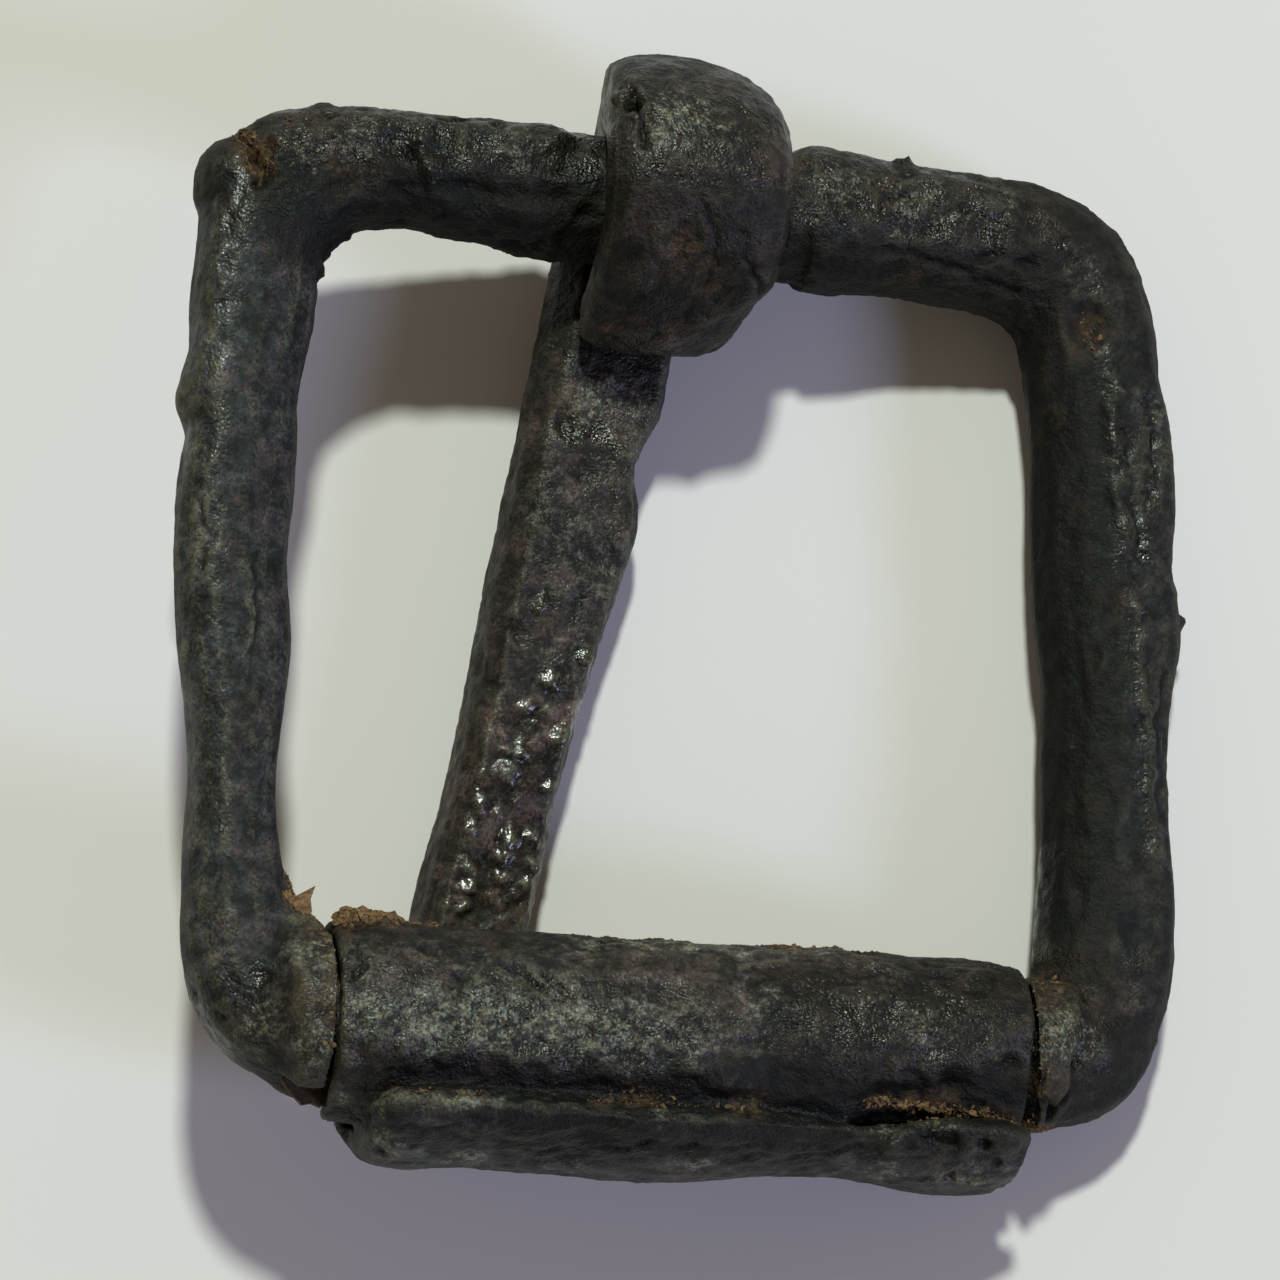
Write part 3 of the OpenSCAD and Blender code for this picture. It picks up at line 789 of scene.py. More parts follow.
def pin_iron(material):
    mesh = fine_mesh("pin")
    points = points_of(mesh)
    normals = normals_of(mesh)
    bent = warped(points, *TABLE_WARP, 71)
    bore = near_axis(points, AXIS_Y, BORE_REACH)
    under_roller = 1 - smooth_step(*UNDER_ROLLER, points[:, 1])
    wet = spots(bent, PIN_WET)
    relief = crust(points, *PIN_CRUST)
    away, chance = cells(warped(points, *BLISTER_WARP, 75), BLISTER_SIZE, 76)
    blisters = np.where(chance > BLISTER_FREE, 1 - smooth_step(*PIT_SLOPE, away), 0) * np.clip(wet, 0, 1)
    relief += BLISTER_HEIGHT * blisters
    relief += spots(bent, PIN_BUMPS)
    relief += leaning_spots(warped(points, *BLOB_WARP, 74), PIN_BLOBS, BLOB_LEAN)
    relief += lines(points, normals, PIN_LINES)
    relief = np.where(relief > 0, relief * (1 - under_roller), relief)
    set_points(mesh, points + normals * (relief * (1 - bore))[:, None])
    rust = spots(bent, PIN_RUST) + scattered_rust(points, 0.3, 2.4, 91)
    gloss = WET_GLOSS * wet + patches(bent, PIN_GLOSS)
    gloss += leaning_spots(bent, PIN_BLOBS, (0, 0)) / GLOSSY_HEIGHT
    masks = {"rust": rust, "pale": spots(bent, PIN_PALE_AND_HIGHLIGHT), "gloss": gloss}
    masks["grit"] = BASE_GRIT + patches(bent, PIN_GRIT)
    masks["tone_and_painted_light"] = patches(bent, PIN_TONE)
    masks["cool"] = patches(bent, PIN_COOL)
    return finish_piece(mesh, "pin_iron", material, "pin", masks)


# Roller

ROLLER_BUMPS = [
    [-15.1, -15.2, 1.4, 0.9, 0.35],
    [-14.2, -15.1, 1.5, 0.9, 0.5],
    [-13.2, -15.1, 1.5, 0.8, 0.4],
    [-12.4, -15.1, 1.4, 0.6, 0.25],
    [-14.0, -18.0, 4.2, 1.6, -0.15],
    [-11.0, -18.4, 4.3, 1.2, 0.12],
    [-7.4, -17.3, 3.9, 0.8, -0.2],
    [-3.7, -18.8, 4.4, 1.8, 0.14],
    [-0.6, -17.6, 4.2, 1.3, -0.14],
    [4.0, -17.8, 4.2, 1.2, 0.12],
    [8.7, -17.0, 4.0, 1.4, 0.15],
    [11.2, -18.2, 4.4, 1.5, 0.15],
    [12.4, -21.0, 4.0, 0.9, -0.3],
    [15.2, -20.2, 4.2, 1.0, -0.25],
    [-12.9, -25.2, 1.6, 0.5, -0.2],
    [-9.0, -24.4, 3.6, 1.1, 0.12],
    [-3.6, -24.0, 4.2, 1.3, -0.15],
    [0.6, -24.6, 3.3, 1.3, -0.15],
    [4.6, -24.8, 2.8, 1.2, 0.15],
    [8.8, -24.3, 3.0, 1.1, -0.25],
    [11.3, -23.5, 4.3, 0.8, -0.65],
    [12.2, -23.7, 4.2, 0.8, -0.65],
    [14.0, -23.6, 4.0, 0.6, -0.45],
    [14.9, -24.2, 3.2, 0.45, -0.35],
    [13.0, -24.9, 2.4, 0.5, -0.3],
]
ROLLER_LINES = [
    [1.4, -0.26, [(-14.6, -21.0), (-10.0, -20.9), (-6.0, -21.2), (-1.0, -21.0), (3.0, -21.2)]],
    [0.20, 0.32, [(-8.0, -16.9), (-7.2, -17.3), (-6.3, -17.9), (-5.6, -18.4)]],
    [0.18, 0.22, [(-6.1, -17.4), (-5.4, -17.9), (-5.0, -18.5)]],
    [0.35, -0.16, [(2.6, -16.4), (4.6, -15.9), (6.6, -15.5), (8.4, -15.6), (10.2, -16.2), (14.8, -15.8)]],
    [0.20, 0.18, [(-14.6, -16.4), (-14.7, -18.2), (-14.4, -20.4)]],
    [0.30, 0.16, [(-14.6, -20.6), (-13.4, -20.3), (-12.8, -20.6)]],
    [0.22, 0.12, [(-14.3, -24.0), (-12.8, -24.3), (-9.6, -24.4), (-6.0, -24.9), (-2.0, -24.8)]],
    [0.18, 0.10, [(-12.6, -25.0), (-10.6, -25.1), (-8.4, -25.3)]],
    [0.30, -0.12, [(-14.0, -23.5), (-11.0, -23.3), (-7.0, -23.2), (-2.0, -23.2), (3.0, -23.3)]],
    [0.22, 0.12, [(-1.6, -24.4), (2.0, -24.6), (6.0, -24.5), (8.6, -24.0)]],
    [0.25, -0.12, [(8.0, -25.0), (11.0, -25.2), (15.0, -24.9)]],
]
ROLLER_RUST = [
    [-14.6, -15.3, 1.8, 1.6, 1.0],
    [-12.8, -15.2, 1.6, 1.4, 1.0],
    [-8.2, -16.0, 3.2, 1.0, 0.4],
    [5.2, -15.1, 1.4, 0.9, 0.6],
    [9.4, -15.0, 1.3, 0.8, 0.4],
    [-1.6, -22.4, 3.4, 1.5, 0.7],
    [3.4, -22.6, 3.2, 1.5, 0.6],
    [-3.4, -22.7, 3.8, 0.9, 0.9],
    [9.4, -22.0, 3.4, 1.0, 1.0],
    [10.8, -22.1, 3.4, 1.0, 1.0],
    [12.4, -22.1, 3.4, 1.0, 1.0],
    [14.0, -22.2, 3.4, 1.0, 1.0],
    [15.4, -22.6, 3.0, 1.1, 1.0],
    [12.0, -21.2, 3.6, 0.9, 0.5],
    [1.0, -18.4, 4.4, 2.2, 0.2],
]
# Pale places of the roller: its own pale grains, laid partly along the bands of the roll and the lip that
# catch the light, as painted highlights
ROLLER_PALE_AND_HIGHLIGHT = [
    [-14.2, -19.6, 4.4, 1.8, 1.0],
    [-11.6, -19.8, 4.3, 2.6, 0.9],
    [-8.6, -19.4, 4.3, 2.6, 1.0],
    [-5.4, -19.6, 4.2, 2.6, 0.9],
    [-2.4, -19.8, 4.4, 2.6, 0.9],
    [0.6, -19.4, 4.4, 2.0, 0.6],
    [4.0, -18.2, 4.2, 1.8, 0.6],
    [-3.6, -15.4, 2.2, 1.2, 0.9],
    [-1.6, -15.4, 2.2, 1.3, 0.9],
    [0.6, -15.4, 2.2, 1.3, 1.0],
    [2.8, -15.3, 2.0, 1.3, 1.0],
    [5.0, -15.2, 1.8, 1.2, 0.9],
    [7.4, -15.2, 1.8, 1.2, 0.8],
    [9.0, -17.4, 4.0, 1.8, 0.5],
    [11.4, -18.6, 4.4, 2.0, 0.7],
    [14.8, -19.6, 4.3, 1.2, 0.5],
    [-15.0, -23.0, 2.4, 0.9, 0.9],
    [-8.6, -23.2, 4.4, 1.8, 0.4],
    [-13.4, -23.6, 4.0, 0.9, 0.9],
    [-11.6, -23.2, 4.5, 0.9, 0.9],
    [-9.8, -23.0, 4.6, 1.0, 1.0],
    [-5.0, -23.2, 4.4, 1.2, 0.5],
    [-1.0, -23.2, 4.2, 1.2, 0.5],
    [9.4, -23.2, 4.2, 1.6, 0.8],
    [12.0, -22.8, 4.4, 1.4, 0.9],
    [-12.8, -24.9, 2.6, 1.6, 0.9],
    [-9.0, -25.2, 1.8, 1.8, 0.8],
    [-4.5, -25.4, 1.0, 1.8, 0.7],
    [1.0, -25.0, 2.2, 1.8, 0.6],
    [10.0, -25.0, 1.8, 1.8, 0.8],
    [13.6, -25.0, 2.2, 1.6, 0.8],
]
# Lighter and darker places of the roller's colour: besides the iron's own tone, the band below the roll's top
# and the lip's upper face under the roll are darkened as painted shade, the roll's upper band and a thin line
# along the lip's edge are lightened as painted highlights, and the lip's lower band is lighter
ROLLER_TONE_AND_PAINTED_LIGHT = [
    [-14.6, 3.0, -21.0, -17.0, 1.2, 0.8],
    [-14.6, 3.0, -17.0, -15.0, 0.6, 0.45],
    [-5.0, 9.0, -16.0, -14.0, 0.5, 0.7],
    [-14.5, -12.5, -24.4, -23.9, 0.3, -1.0],
    [-11.5, -9.0, -25.0, -24.6, 0.3, -0.8],
    [0.5, 4.0, -24.2, -23.6, 0.4, -0.6],
    [-13.5, 3.0, -23.4, -22.9, 0.15, 0.8],
    [3.0, 16.5, -20.0, -14.0, 2.0, 0.1],
    [-14.0, 16.5, -22.4, -20.8, 0.5, -0.6],
    [-15.0, -8.0, -27.0, -22.6, 1.0, 0.45],
    [-7.6, -1.6, -25.0, -23.2, 0.6, -1.0],
    [-1.6, 7.0, -24.4, -23.2, 0.8, -0.5],
    [-13.0, 8.0, -27.0, -25.1, 0.4, 0.9],
    [8.0, 16.5, -27.0, -24.4, 0.6, 0.8],
    [10.8, 12.8, -24.0, -23.2, 0.4, -1.0],
]
ROLLER_COOL = [
    [5.0, 16.5, -21.0, -14.0, 2.0, -0.5],
    [-15.0, 16.5, -27.0, -23.0, 0.8, 0.5],
]
ROLLER_GLOSS = [
    [-15.0, 1.0, -21.4, -17.4, 0.8, 0.5],
    [2.0, 16.5, -19.6, -15.6, 1.0, 0.35],
    [7.0, 12.6, -20.4, -17.0, 1.0, 0.3],
    [-15.0, 16.5, -27.0, -22.4, 0.5, 0.2],
]
ROLLER_GRIT = [
    [-15.0, 1.0, -22.0, -16.4, 1.0, 0.35],
    [-15.5, 16.6, -27.0, -22.4, 0.5, 0.35],
    [5.0, 16.6, -21.0, -15.0, 1.5, 0.35],
]


# Where the roller lies over the pin's shaft, by X and by Z
OVER_PIN_X = (-11.0, -3.0)
OVER_PIN_Z = (-3.6, -2.6)
# Where the lip starts, by Y, and the deepest relief that the roller's wall takes
LIP_FROM = (-22.2, -22.8)
DEEPEST = -0.45


def roller_iron(material):
    mesh = fine_mesh("roller")
    points = points_of(mesh)
    normals = normals_of(mesh)
    bent = warped(points, *TABLE_WARP, 72)
    bore = near_axis(points, -AXIS_Y, BORE_REACH)
    over_pin = within(points[:, 0], *OVER_PIN_X) * (1 - smooth_step(*OVER_PIN_Z, points[:, 2]))
    on_lip = smooth_step(*LIP_FROM, points[:, 1])
    relief = on_lip * crust(points, *LIP_CRUST) + (1 - on_lip) * crust(points, *ROLLER_CRUST)
    relief += spots(bent, ROLLER_BUMPS)
    relief += lines(points, normals, ROLLER_LINES)
    relief = np.where(relief > 0, relief * (1 - over_pin), relief)
    relief = np.maximum(relief, DEEPEST)
    relief = seam_faces(points, normals, relief)
    set_points(mesh, points + normals * (relief * (1 - bore))[:, None])
    rust = spots(bent, ROLLER_RUST) + scattered_rust(points, 0.3, 2.8, 92)
    masks = {"rust": rust, "pale": spots(bent, ROLLER_PALE_AND_HIGHLIGHT), "gloss": patches(bent, ROLLER_GLOSS)}
    masks["grit"] = BASE_GRIT + patches(bent, ROLLER_GRIT)
    masks["tone_and_painted_light"] = patches(bent, ROLLER_TONE_AND_PAINTED_LIGHT)
    masks["cool"] = patches(bent, ROLLER_COOL)
    return finish_piece(mesh, "roller_iron", material, "roller", masks)


# Materials

class Nodes:
    """Short ways to add and join shader nodes in one material."""

    def __init__(self, name):
        self.material = bpy.data.materials.new(name)
        self.material.use_nodes = True
        self.tree = self.material.node_tree
        self.shader = self.tree.nodes["Principled BSDF"]
        self.place = self.add("ShaderNodeTexCoord", {}).outputs["Object"]

    def add(self, kind, inputs, **values):
        """Adds a node with its own values, and joins or sets its inputs."""
        node = self.tree.nodes.new(kind)
        for key, value in values.items():
            setattr(node, key, value)
        for socket, source in inputs.items():
            self.join(source, node.inputs[socket])
        return node

    def join(self, source, socket):
        if hasattr(source, "is_output"):
            self.tree.links.new(source, socket)
        else:
            socket.default_value = source

    def shade(self, socket, source):
        self.join(source, self.shader.inputs[socket])

    def mask(self, name):
        return self.add("ShaderNodeAttribute", {}, attribute_name=name).outputs["Fac"]

    def noise(self, lump_mm, detail, roughness):
        inputs = {"Vector": self.place, "Scale": 1 / (lump_mm * MM), "Detail": detail}
        inputs["Roughness"] = roughness
        return self.add("ShaderNodeTexNoise", inputs).outputs["Fac"]

    def grains(self, grain_mm):
        """Three chances from 0 to 1 that differ from grain to grain."""
        node = self.add("ShaderNodeTexVoronoi", {"Vector": self.place, "Scale": 1 / (grain_mm * MM)})
        return self.add("ShaderNodeSeparateColor", {0: node.outputs["Color"]}).outputs

    def math(self, operation, a, b, clamp=False):
        return self.add("ShaderNodeMath", {0: a, 1: b}, operation=operation, use_clamp=clamp).outputs[0]

    def plus(self, a, b, clamp=False):
        return self.math("ADD", a, b, clamp)

    def times(self, a, b, clamp=False):
        return self.math("MULTIPLY", a, b, clamp)

    def between(self, value, low, high, to_low=0.0, to_high=1.0):
        inputs = {"Value": value, "From Min": low, "From Max": high, "To Min": to_low, "To Max": to_high}
        return self.add("ShaderNodeMapRange", inputs, interpolation_type="SMOOTHSTEP").outputs["Result"]

    def mix(self, share, a, b):
        return self.add("ShaderNodeMix", {"Factor": share, 6: a, 7: b}, data_type="RGBA").outputs[2]

    def scaled(self, color, factor):
        return self.add("ShaderNodeVectorMath", {0: color, "Scale": factor}, operation="SCALE").outputs[0]

    def bump(self, height, distance_mm, strength, below=None):
        inputs = {"Height": height, "Distance": distance_mm * MM, "Strength": strength}
        if below is not None:
            inputs["Normal"] = below
        return self.add("ShaderNodeBump", inputs).outputs["Normal"]


BLACK = (0.0030, 0.0028, 0.0025, 1)
BROWN = (0.0120, 0.0090, 0.0070, 1)
BLUE_GREY = (0.0090, 0.0115, 0.0125, 1)
PURPLE = (0.0190, 0.0130, 0.0120, 1)
RUSSET = (0.021, 0.013, 0.009, 1)
OLIVE = (0.026, 0.025, 0.016, 1)
RED_RUST = (0.050, 0.026, 0.014, 1)
AMBER = (0.14, 0.095, 0.045, 1)
PATINA_AND_SHEEN = (0.080, 0.088, 0.070, 1)
SPECK_AND_GLINT = (0.21, 0.25, 0.19, 1)
WARM_SPECK_AND_GLINT = (0.26, 0.21, 0.10, 1)
GREEN_GLINT = (0.72, 1.0, 0.86, 1)
PINK_GLINT = (1.0, 0.86, 0.84, 1)
# Loose rust, dark and bright crumbs, each from its darkest to its palest colour
DARK_CRUMB = ((0.014, 0.010, 0.005, 1), (0.080, 0.055, 0.022, 1))
BRIGHT_CRUMB = ((0.080, 0.043, 0.016, 1), (0.31, 0.19, 0.075, 1))

# How much purple each piece has
PURPLE_SHARES = {"frame": 0.3, "pin": 0.6, "roller": 0.35}
GRAIN_MM = 0.11
IRON_ROUGHNESS = 0.60
IRON_IOR = 1.36
COAT_ROUGHNESS = 0.22
COAT_SHARE = 0.35
# Bumps of the iron, coarse to fine: lump in millimetres, detail, roughness, depth in millimetres
IRON_BUMPS = [
    [0.7, 2.0, 0.5, 0.11],
    [0.24, 2.0, 0.55, 0.10],
    [0.12, 0.0, 0.5, 0.035],
]


def corroded_iron(name, purple_share):
    """Dark corroded iron under a thin lacquer: grains of mixed colours, rust and glossy places, with painted
    shade in hollows and on shaded sides and painted highlights in pale places.
    """
    n = Nodes(name)
    hollow = n.mask("hollow")
    pale = n.mask("pale")
    broad = n.noise(2.6, 5.0, 0.62)
    mottled = n.noise(1.3, 4.0, 0.6)
    medium = n.noise(0.7, 6.0, 0.68)
    fine = n.noise(0.26, 5.0, 0.72)
    both = n.plus(fine, medium)
    grain = n.grains(GRAIN_MM)
    hue = n.mix(n.between(n.mask("cool"), -0.6, 0.6), BROWN, BLUE_GREY)
    base = n.mix(n.between(medium, 0.38, 0.62), BLACK, hue)
    base = n.mix(n.times(n.between(broad, 0.48, 0.62), purple_share), base, PURPLE)
    base = n.mix(n.between(n.plus(medium, n.times(grain[0], 0.25)), 0.72, 0.86), base, RUSSET)
    raised = n.between(n.plus(hollow, n.times(grain[1], 0.5)), 0.0, -0.6)
    base = n.mix(n.times(raised, 0.6), base, OLIVE)
    # Painted shade: hollows are darkened towards black
    base = n.mix(n.between(hollow, 0.1, 0.8), base, BLACK)
    # Pale mottling where the pale mask is: partly the iron's own pale patina, partly a painted sheen where
    # the iron catches the light
    base = n.mix(n.times(pale, n.between(both, 0.98, 1.22, 0.0, 0.7)), base, PATINA_AND_SHEEN)
    uneven = n.times(n.plus(0.5, grain[2]), n.between(mottled, 0.36, 0.64, 0.65, 1.4))
    # The tone mask holds the iron's own lighter and darker places together with painted shade and painted
    # highlights
    base = n.scaled(base, n.times(uneven, n.math("POWER", 4.0, n.mask("tone_and_painted_light"))))
    # Scattered light grains, more of them in pale places: partly the iron's own pale grains, partly painted
    # glints
    chance = n.plus(n.times(both, 0.55), n.times(grain[0], 0.2))
    chance = n.plus(chance, n.times(pale, 0.26))
    speck_and_glint = n.mix(n.between(grain[1], 0.45, 0.8), SPECK_AND_GLINT, WARM_SPECK_AND_GLINT)
    base = n.mix(n.between(chance, 0.84, 1.08), base, n.scaled(speck_and_glint, n.plus(0.1, grain[2])))
    rusty = n.times(n.mask("rust"), n.between(medium, 0.38, 0.62), clamp=True)
    base = n.mix(rusty, base, n.mix(n.between(fine, 0.42, 0.64), RED_RUST, AMBER))
    n.shade("Base Color", base)
    patchy = n.between(n.noise(1.1, 3.0, 0.6), 0.38, 0.60, 0.35, 1.2)
    glossy = n.times(n.mask("gloss"), patchy, clamp=True)
    rough = n.plus(IRON_ROUGHNESS, n.times(grain[2], 0.16))
    rough = n.math("SUBTRACT", rough, n.times(glossy, 0.42))
    n.shade("Roughness", n.plus(rough, n.times(rusty, 0.3), clamp=True))
    n.shade("IOR", IRON_IOR)
    n.shade("Specular Tint", n.mix(grain[1], GREEN_GLINT, PINK_GLINT))
    n.shade("Coat Weight", n.times(glossy, COAT_SHARE))
    n.shade("Coat Roughness", COAT_ROUGHNESS)
    grit = n.mask("grit")
    normal = None
    for level, (lump, detail, roughness, depth) in enumerate(IRON_BUMPS):
        normal = n.bump(n.noise(lump, detail, roughness), depth, grit if level else 1.0, normal)
    n.shade("Normal", normal)
    n.shade("Coat Normal", normal)
    return n.material


def loose_rust(name):
    """Crumbly rust, from dark olive to amber by the crumb."""
    n = Nodes(name)
    fine = n.noise(0.2, 5.0, 0.7)
    share = n.between(fine, 0.35, 0.65)
    n.shade("Base Color", n.mix(n.mask("tint"), n.mix(share, *DARK_CRUMB), n.mix(share, *BRIGHT_CRUMB)))
    n.shade("Roughness", n.between(fine, 0.3, 0.7, 0.70, 0.95))
    n.shade("Normal", n.bump(n.noise(0.1, 4.0, 0.7), 0.08, 0.9))
    return n.material


def paper(name):
    """Plain pale sheet with a faint unevenness."""
    n = Nodes(name)
    broad = n.noise(60.0, 2.0, 0.5)
    darker = (PAPER[0] * 0.97, PAPER[1] * 0.97, PAPER[2] * 0.94, 1)
    n.shade("Base Color", n.mix(n.between(broad, 0.3, 0.7), (*PAPER, 1), darker))
    n.shade("Roughness", n.between(broad, 0.3, 0.7, 0.85, 0.95))
    n.shade("Specular IOR Level", 0.1)
    return n.material


# Crumbs of loose rust

# How battered a crumb's corners are, how long and wide it is, and how far it turns and tips
CORNER_REACH = (0.5, 1.4)
CRUMB_LENGTH = (0.6, 1.7)
CRUMB_WIDTH = (0.5, 1.1)
CRUMB_FLATNESS = (0.35, 0.9)
CRUMB_TURN = (0, 6.28)
CRUMB_TIP = (-0.8, 0.8)
# Spread of the crumbs' sizes and tints, and how far out of the surface they stand, in sizes
SIZE_SPREAD = 0.5
TINT_SPREAD = 0.25
CRUMB_LIFT = 0.15
# Just over 1 segment, so that a draw along a line never passes its last one
LINE_END = 1.001


def crumb_shape(draw, size, flatness):
    """Points and faces of one angular crumb: a battered icosahedron."""
    golden = (1 + math.sqrt(5)) / 2
    corners = []
    for a in (-1, 1):
        for b in (-golden, golden):
            corners += [(0, a, b), (a, b, 0), (b, 0, a)]
    corners = np.array(corners, float) / math.hypot(1, golden)
    faces = []
    reach = 2 / math.hypot(1, golden) * 1.05
    for i in range(12):
        for j in range(i + 1, 12):
            for k in range(j + 1, 12):
                triple = corners[[i, j, k]]
                sides = np.linalg.norm(triple - np.roll(triple, 1, axis=0), axis=1)
                if sides.max() < reach:
                    turned = np.cross(triple[1] - triple[0], triple[2] - triple[0]) @ triple.sum(0) < 0
                    faces.append((i, k, j) if turned else (i, j, k))
    corners *= draw.uniform(*CORNER_REACH, (12, 1))
    corners *= size * np.array((draw.uniform(*CRUMB_LENGTH), draw.uniform(*CRUMB_WIDTH), flatness))
    turn = Matrix.Rotation(draw.uniform(*CRUMB_TURN), 3, "Z")
    tip = Matrix.Rotation(draw.uniform(*CRUMB_TIP), 3, "X")
    return corners @ np.array(turn @ tip).T, faces


def rust_mesh(name, points, faces, tints, material, body):
    """A sharp-edged piece of rust, with the tint that its material reads."""
    mesh = bpy.data.meshes.new(name)
    mesh.from_pydata([tuple(p) for p in points], [], faces)
    store(mesh, "tint", np.array(tints))
    return placed(mesh, name, material, body, smooth=False)


def crumbs(name, host, body, material, seed, table):
    """One mesh of crumbs on a piece. Each row is count, size, scatter, tint and a line."""
    draw = np.random.default_rng(seed)
    host_mesh = host.data.copy()
    host_mesh.transform(TO_PLANE)
    corners = [vertex.co for vertex in host_mesh.vertices]
    surface = BVHTree.FromPolygons(corners, [side.vertices for side in host_mesh.polygons])
    bpy.data.meshes.remove(host_mesh)
    points, faces, tints = [], [], []
    for count, size, scatter, tint, line in table:
        line = np.array(line, float)
        for _ in range(count):
            along = draw.uniform(0, len(line) - LINE_END)
            part = along - int(along)
            spot = line[int(along)] * (1 - part) + line[int(along) + 1] * part
            spot = spot + draw.normal(0, scatter, 3)
            where, normal, _, _ = surface.find_nearest(Vector(spot))
            own_size = size * draw.lognormal(0, SIZE_SPREAD)
            shape, sides = crumb_shape(draw, own_size, draw.uniform(*CRUMB_FLATNESS))
            tilt = np.array(normal.to_track_quat("Z", "Y").to_matrix())
            start = len(points)
            points += list(shape @ tilt.T + np.array(where) + np.array(normal) * size * CRUMB_LIFT)
            faces += [tuple(start + k for k in side) for side in sides]
            tints += [min(1, max(0, draw.normal(tint, TINT_SPREAD)))] * len(shape)
    return rust_mesh(name, points, faces, tints, material, body)


FRAME_CRUMBS = [
    [320, 0.05, 0.24, 0.45, [(-21.2, 20.8, 1.2), (-20.5, 19.6, 2.5), (-20.1, 18.6, 2.7)]],
    [60, 0.05, 0.4, 0.2, [(-19.6, 19.6, 2.6), (-17.6, 21.6, 2.0)]],
    [200, 0.07, 0.24, 0.8, [(-17.5, -13.6, 0.9), (-17.1, -14.6, 1.0), (-16.4, -15.1, 1.5)]],
    [170, 0.05, 0.2, 0.3, [(-16.0, -15.4, 2.4), (-15.7, -17.6, 4.1),
                           (-15.7, -19.4, 4.4), (-15.7, -21.6, 3.8)]],
    [170, 0.05, 0.2, 0.3, [(16.7, -15.2, 1.6), (16.6, -16.4, 3.0), (16.6, -18.6, 4.3), (16.6, -21.0, 4.0)]],
    [40, 0.06, 0.3, 0.5, [(17.8, -15.6, 1.8), (17.6, -17.0, 2.2)]],
    [240, 0.07, 0.24, 0.8, [(16.7, -22.4, 2.4), (17.2, -22.6, 0.9), (18.0, -22.4, 0.5)]],
    [30, 0.05, 0.25, 0.4, [(18.8, 15.2, 2.4), (19.2, 14.0, 2.5)]],
]
ROLLER_CRUMBS = [
    [480, 0.07, 0.22, 0.8, [(-15.2, -15.0, 1.7), (-13.4, -14.8, 1.7), (-12.2, -14.9, 1.3)]],
    [70, 0.05, 0.12, 0.6, [(-12.0, -14.9, 1.2), (-10.4, -14.9, 1.2)]],
    [40, 0.06, 0.14, 0.4, [(4.6, -14.9, 1.3), (6.6, -14.9, 1.3)]],
    [320, 0.045, 0.1, 0.25, [(-4.8, -14.9, 1.2), (4.0, -14.9, 1.2), (10.4, -14.9, 1.2)]],
    [110, 0.05, 0.12, 0.5, [(-4.2, -22.7, 3.8), (-1.2, -22.5, 3.6), (3.0, -22.7, 3.4)]],
    [60, 0.05, 0.15, 0.4, [(-13.6, -23.2, 3.6), (-10.4, -22.8, 4.4), (-8.6, -22.8, 4.5)]],
    [620, 0.055, 0.16, 0.85, [(8.8, -22.0, 3.4), (11.4, -22.2, 3.3), (14.4, -22.4, 3.2), (16.0, -22.9, 2.4)]],
]
# Outlines of thin flakes of rust, in the buckle's plane
POINTED_FLAKE = [(-17.7, -14.6), (-17.55, -14.1), (-17.6, -13.65), (-17.2, -14.05), (-16.95, -14.1),
                 (-16.6, -13.9), (-16.1, -13.6), (-16.3, -14.2), (-16.2, -14.8), (-16.9, -15.1)]
DARK_FLAKE = [(-17.3, -21.4), (-17.25, -22.3), (-16.8, -22.9), (-16.3, -23.35), (-15.9, -23.25),
              (-15.47, -23.4), (-15.47, -22.4), (-15.6, -21.4)]
LIP_FLAKE = [(-15.42, -22.2), (-15.42, -23.3), (-15.0, -23.5), (-14.6, -23.4), (-14.0, -23.7),
             (-14.2, -22.3)]
FLAKE_SEED = 31
FLAKE_UNEVEN = (-0.06, 0.12)


def rust_flake(name, body, material, outline, low, high, tint):
    """A thin uneven flake that stands out of the rust beside the roller."""
    count = len(outline)
    draw = np.random.default_rng(FLAKE_SEED)
    points = []
    for height in (low, high):
        points += [(x, y, height + draw.uniform(*FLAKE_UNEVEN)) for x, y in outline]
    faces = [tuple(range(count)), tuple(range(2 * count - 1, count - 1, -1))]
    faces += [(k, count + k, count + (k + 1) % count, (k + 1) % count) for k in range(count)]
    return rust_mesh(name, points, faces, [tint] * len(points), material, body)


# Stage

# Half a side of the sheet of paper, in metres
SHEET_HALF = 1.5


def stage_floor():
    mesh = bpy.data.meshes.new("paper_sheet")
    corners = [(x * SHEET_HALF, y * SHEET_HALF, 0) for x, y in ((-1, -1), (1, -1), (1, 1), (-1, 1))]
    mesh.from_pydata(corners, [], [(0, 1, 2, 3)])
    mesh.materials.append(paper("paper"))
    floor = linked("paper_sheet", mesh)


def stage_lamp(name, elevation, bearing, distance, spread, power, color):
    lamp = bpy.data.lights.new(name, "AREA")
    lamp.shape = "DISK"
    lamp.size = 2 * distance * math.tan(math.radians(spread) / 2)
    lamp.energy = power
    lamp.color = color
    holder = linked(name, lamp)
    up, around = math.radians(elevation), math.radians(bearing)
    toward = Vector((math.cos(around) * math.cos(up), math.sin(around) * math.cos(up), math.sin(up)))
    holder.location = toward * distance
    holder.rotation_mode = "QUATERNION"
    holder.rotation_quaternion = toward.to_track_quat("Z", "Y")


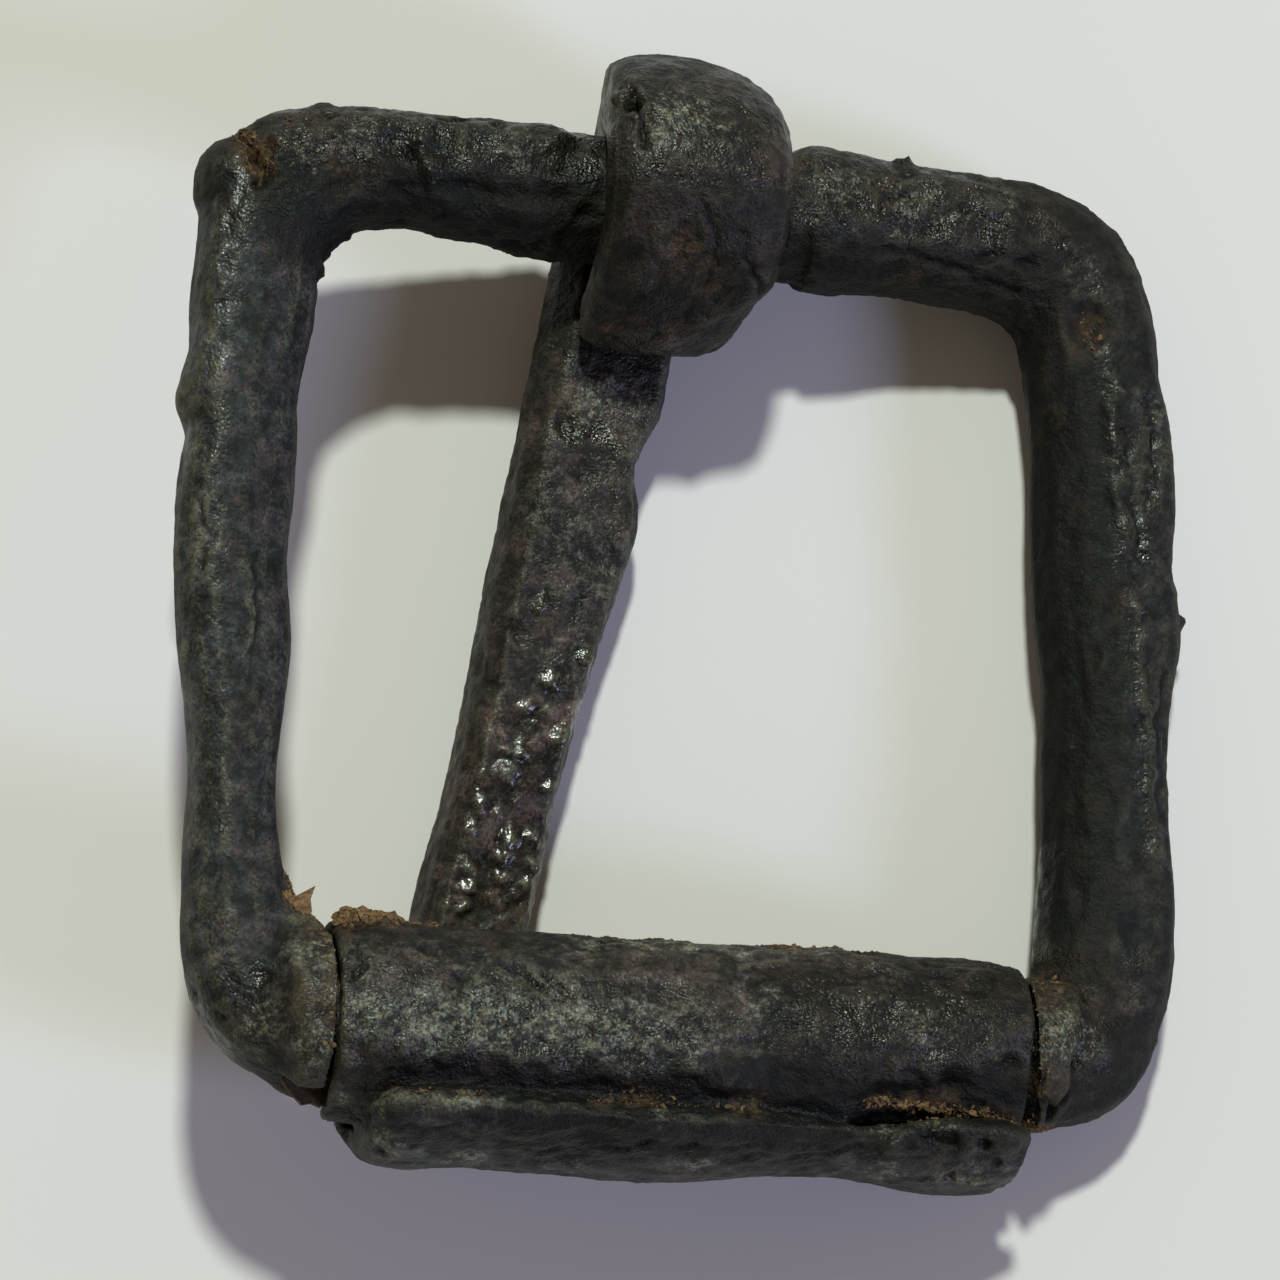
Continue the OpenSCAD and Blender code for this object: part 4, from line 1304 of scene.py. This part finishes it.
def stage_sky():
    """Soft warm light from all round, dimmer overhead."""
    world = bpy.data.worlds.new("sky")
    world.use_nodes = True
    tree = world.node_tree
    height = tree.nodes.new("ShaderNodeSeparateXYZ")
    tree.links.new(tree.nodes.new("ShaderNodeTexCoord").outputs["Generated"], height.inputs[0])
    blend = tree.nodes.new("ShaderNodeMix")
    blend.data_type = "RGBA"
    blend.inputs[6].default_value = (*HORIZON, 1)
    blend.inputs[7].default_value = (*ZENITH, 1)
    tree.links.new(height.outputs["Z"], blend.inputs["Factor"])
    tree.links.new(blend.outputs[2], tree.nodes["Background"].inputs["Color"])
    bpy.context.scene.world = world


def stage_camera():
    tilt, roll = math.radians(VIEW_TILT), math.radians(IMAGE_ROLL)
    forward = Vector((0, math.sin(tilt), -math.cos(tilt)))
    level = Vector((1, 0, 0))
    upright = level.cross(forward)
    right = level * math.cos(roll) + upright * math.sin(roll)
    up = upright * math.cos(roll) - level * math.sin(roll)
    data = bpy.data.cameras.new("camera")
    data.sensor_width = SENSOR
    data.lens = LENS
    data.clip_start = 0.01
    data.clip_end = 10
    camera = linked("camera", data)
    turned = Matrix((right, up, -forward)).transposed().to_4x4()
    camera.matrix_world = Matrix.Translation((AIM - forward * VIEW_DISTANCE) * MM) @ turned
    bpy.context.scene.camera = camera


def main():
    stage_camera()
    iron_frame = frame_iron(corroded_iron("frame_iron", PURPLE_SHARES["frame"]))
    iron_pin = pin_iron(corroded_iron("pin_iron", PURPLE_SHARES["pin"]))
    iron_roller = roller_iron(corroded_iron("roller_iron", PURPLE_SHARES["roller"]))
    rust = loose_rust("loose_rust")
    crumbs("frame_rust", iron_frame, "frame", rust, 21, FRAME_CRUMBS)
    crumbs("roller_rust", iron_roller, "roller", rust, 22, ROLLER_CRUMBS)
    rust_flake("pointed_flake", "frame", rust, POINTED_FLAKE, 1.15, 1.35, 1.0)
    rust_flake("dark_flake", "frame", rust, DARK_FLAKE, 1.0, 1.35, 0.0)
    rust_flake("lip_flake", "roller", rust, LIP_FLAKE, 1.0, 1.3, 0.1)
    stage_floor()
    stage_lamp(*KEY_LAMP)
    stage_lamp(*SIDE_LAMP)
    stage_sky()
    bpy.context.scene.view_settings.view_transform = "Standard"


main()
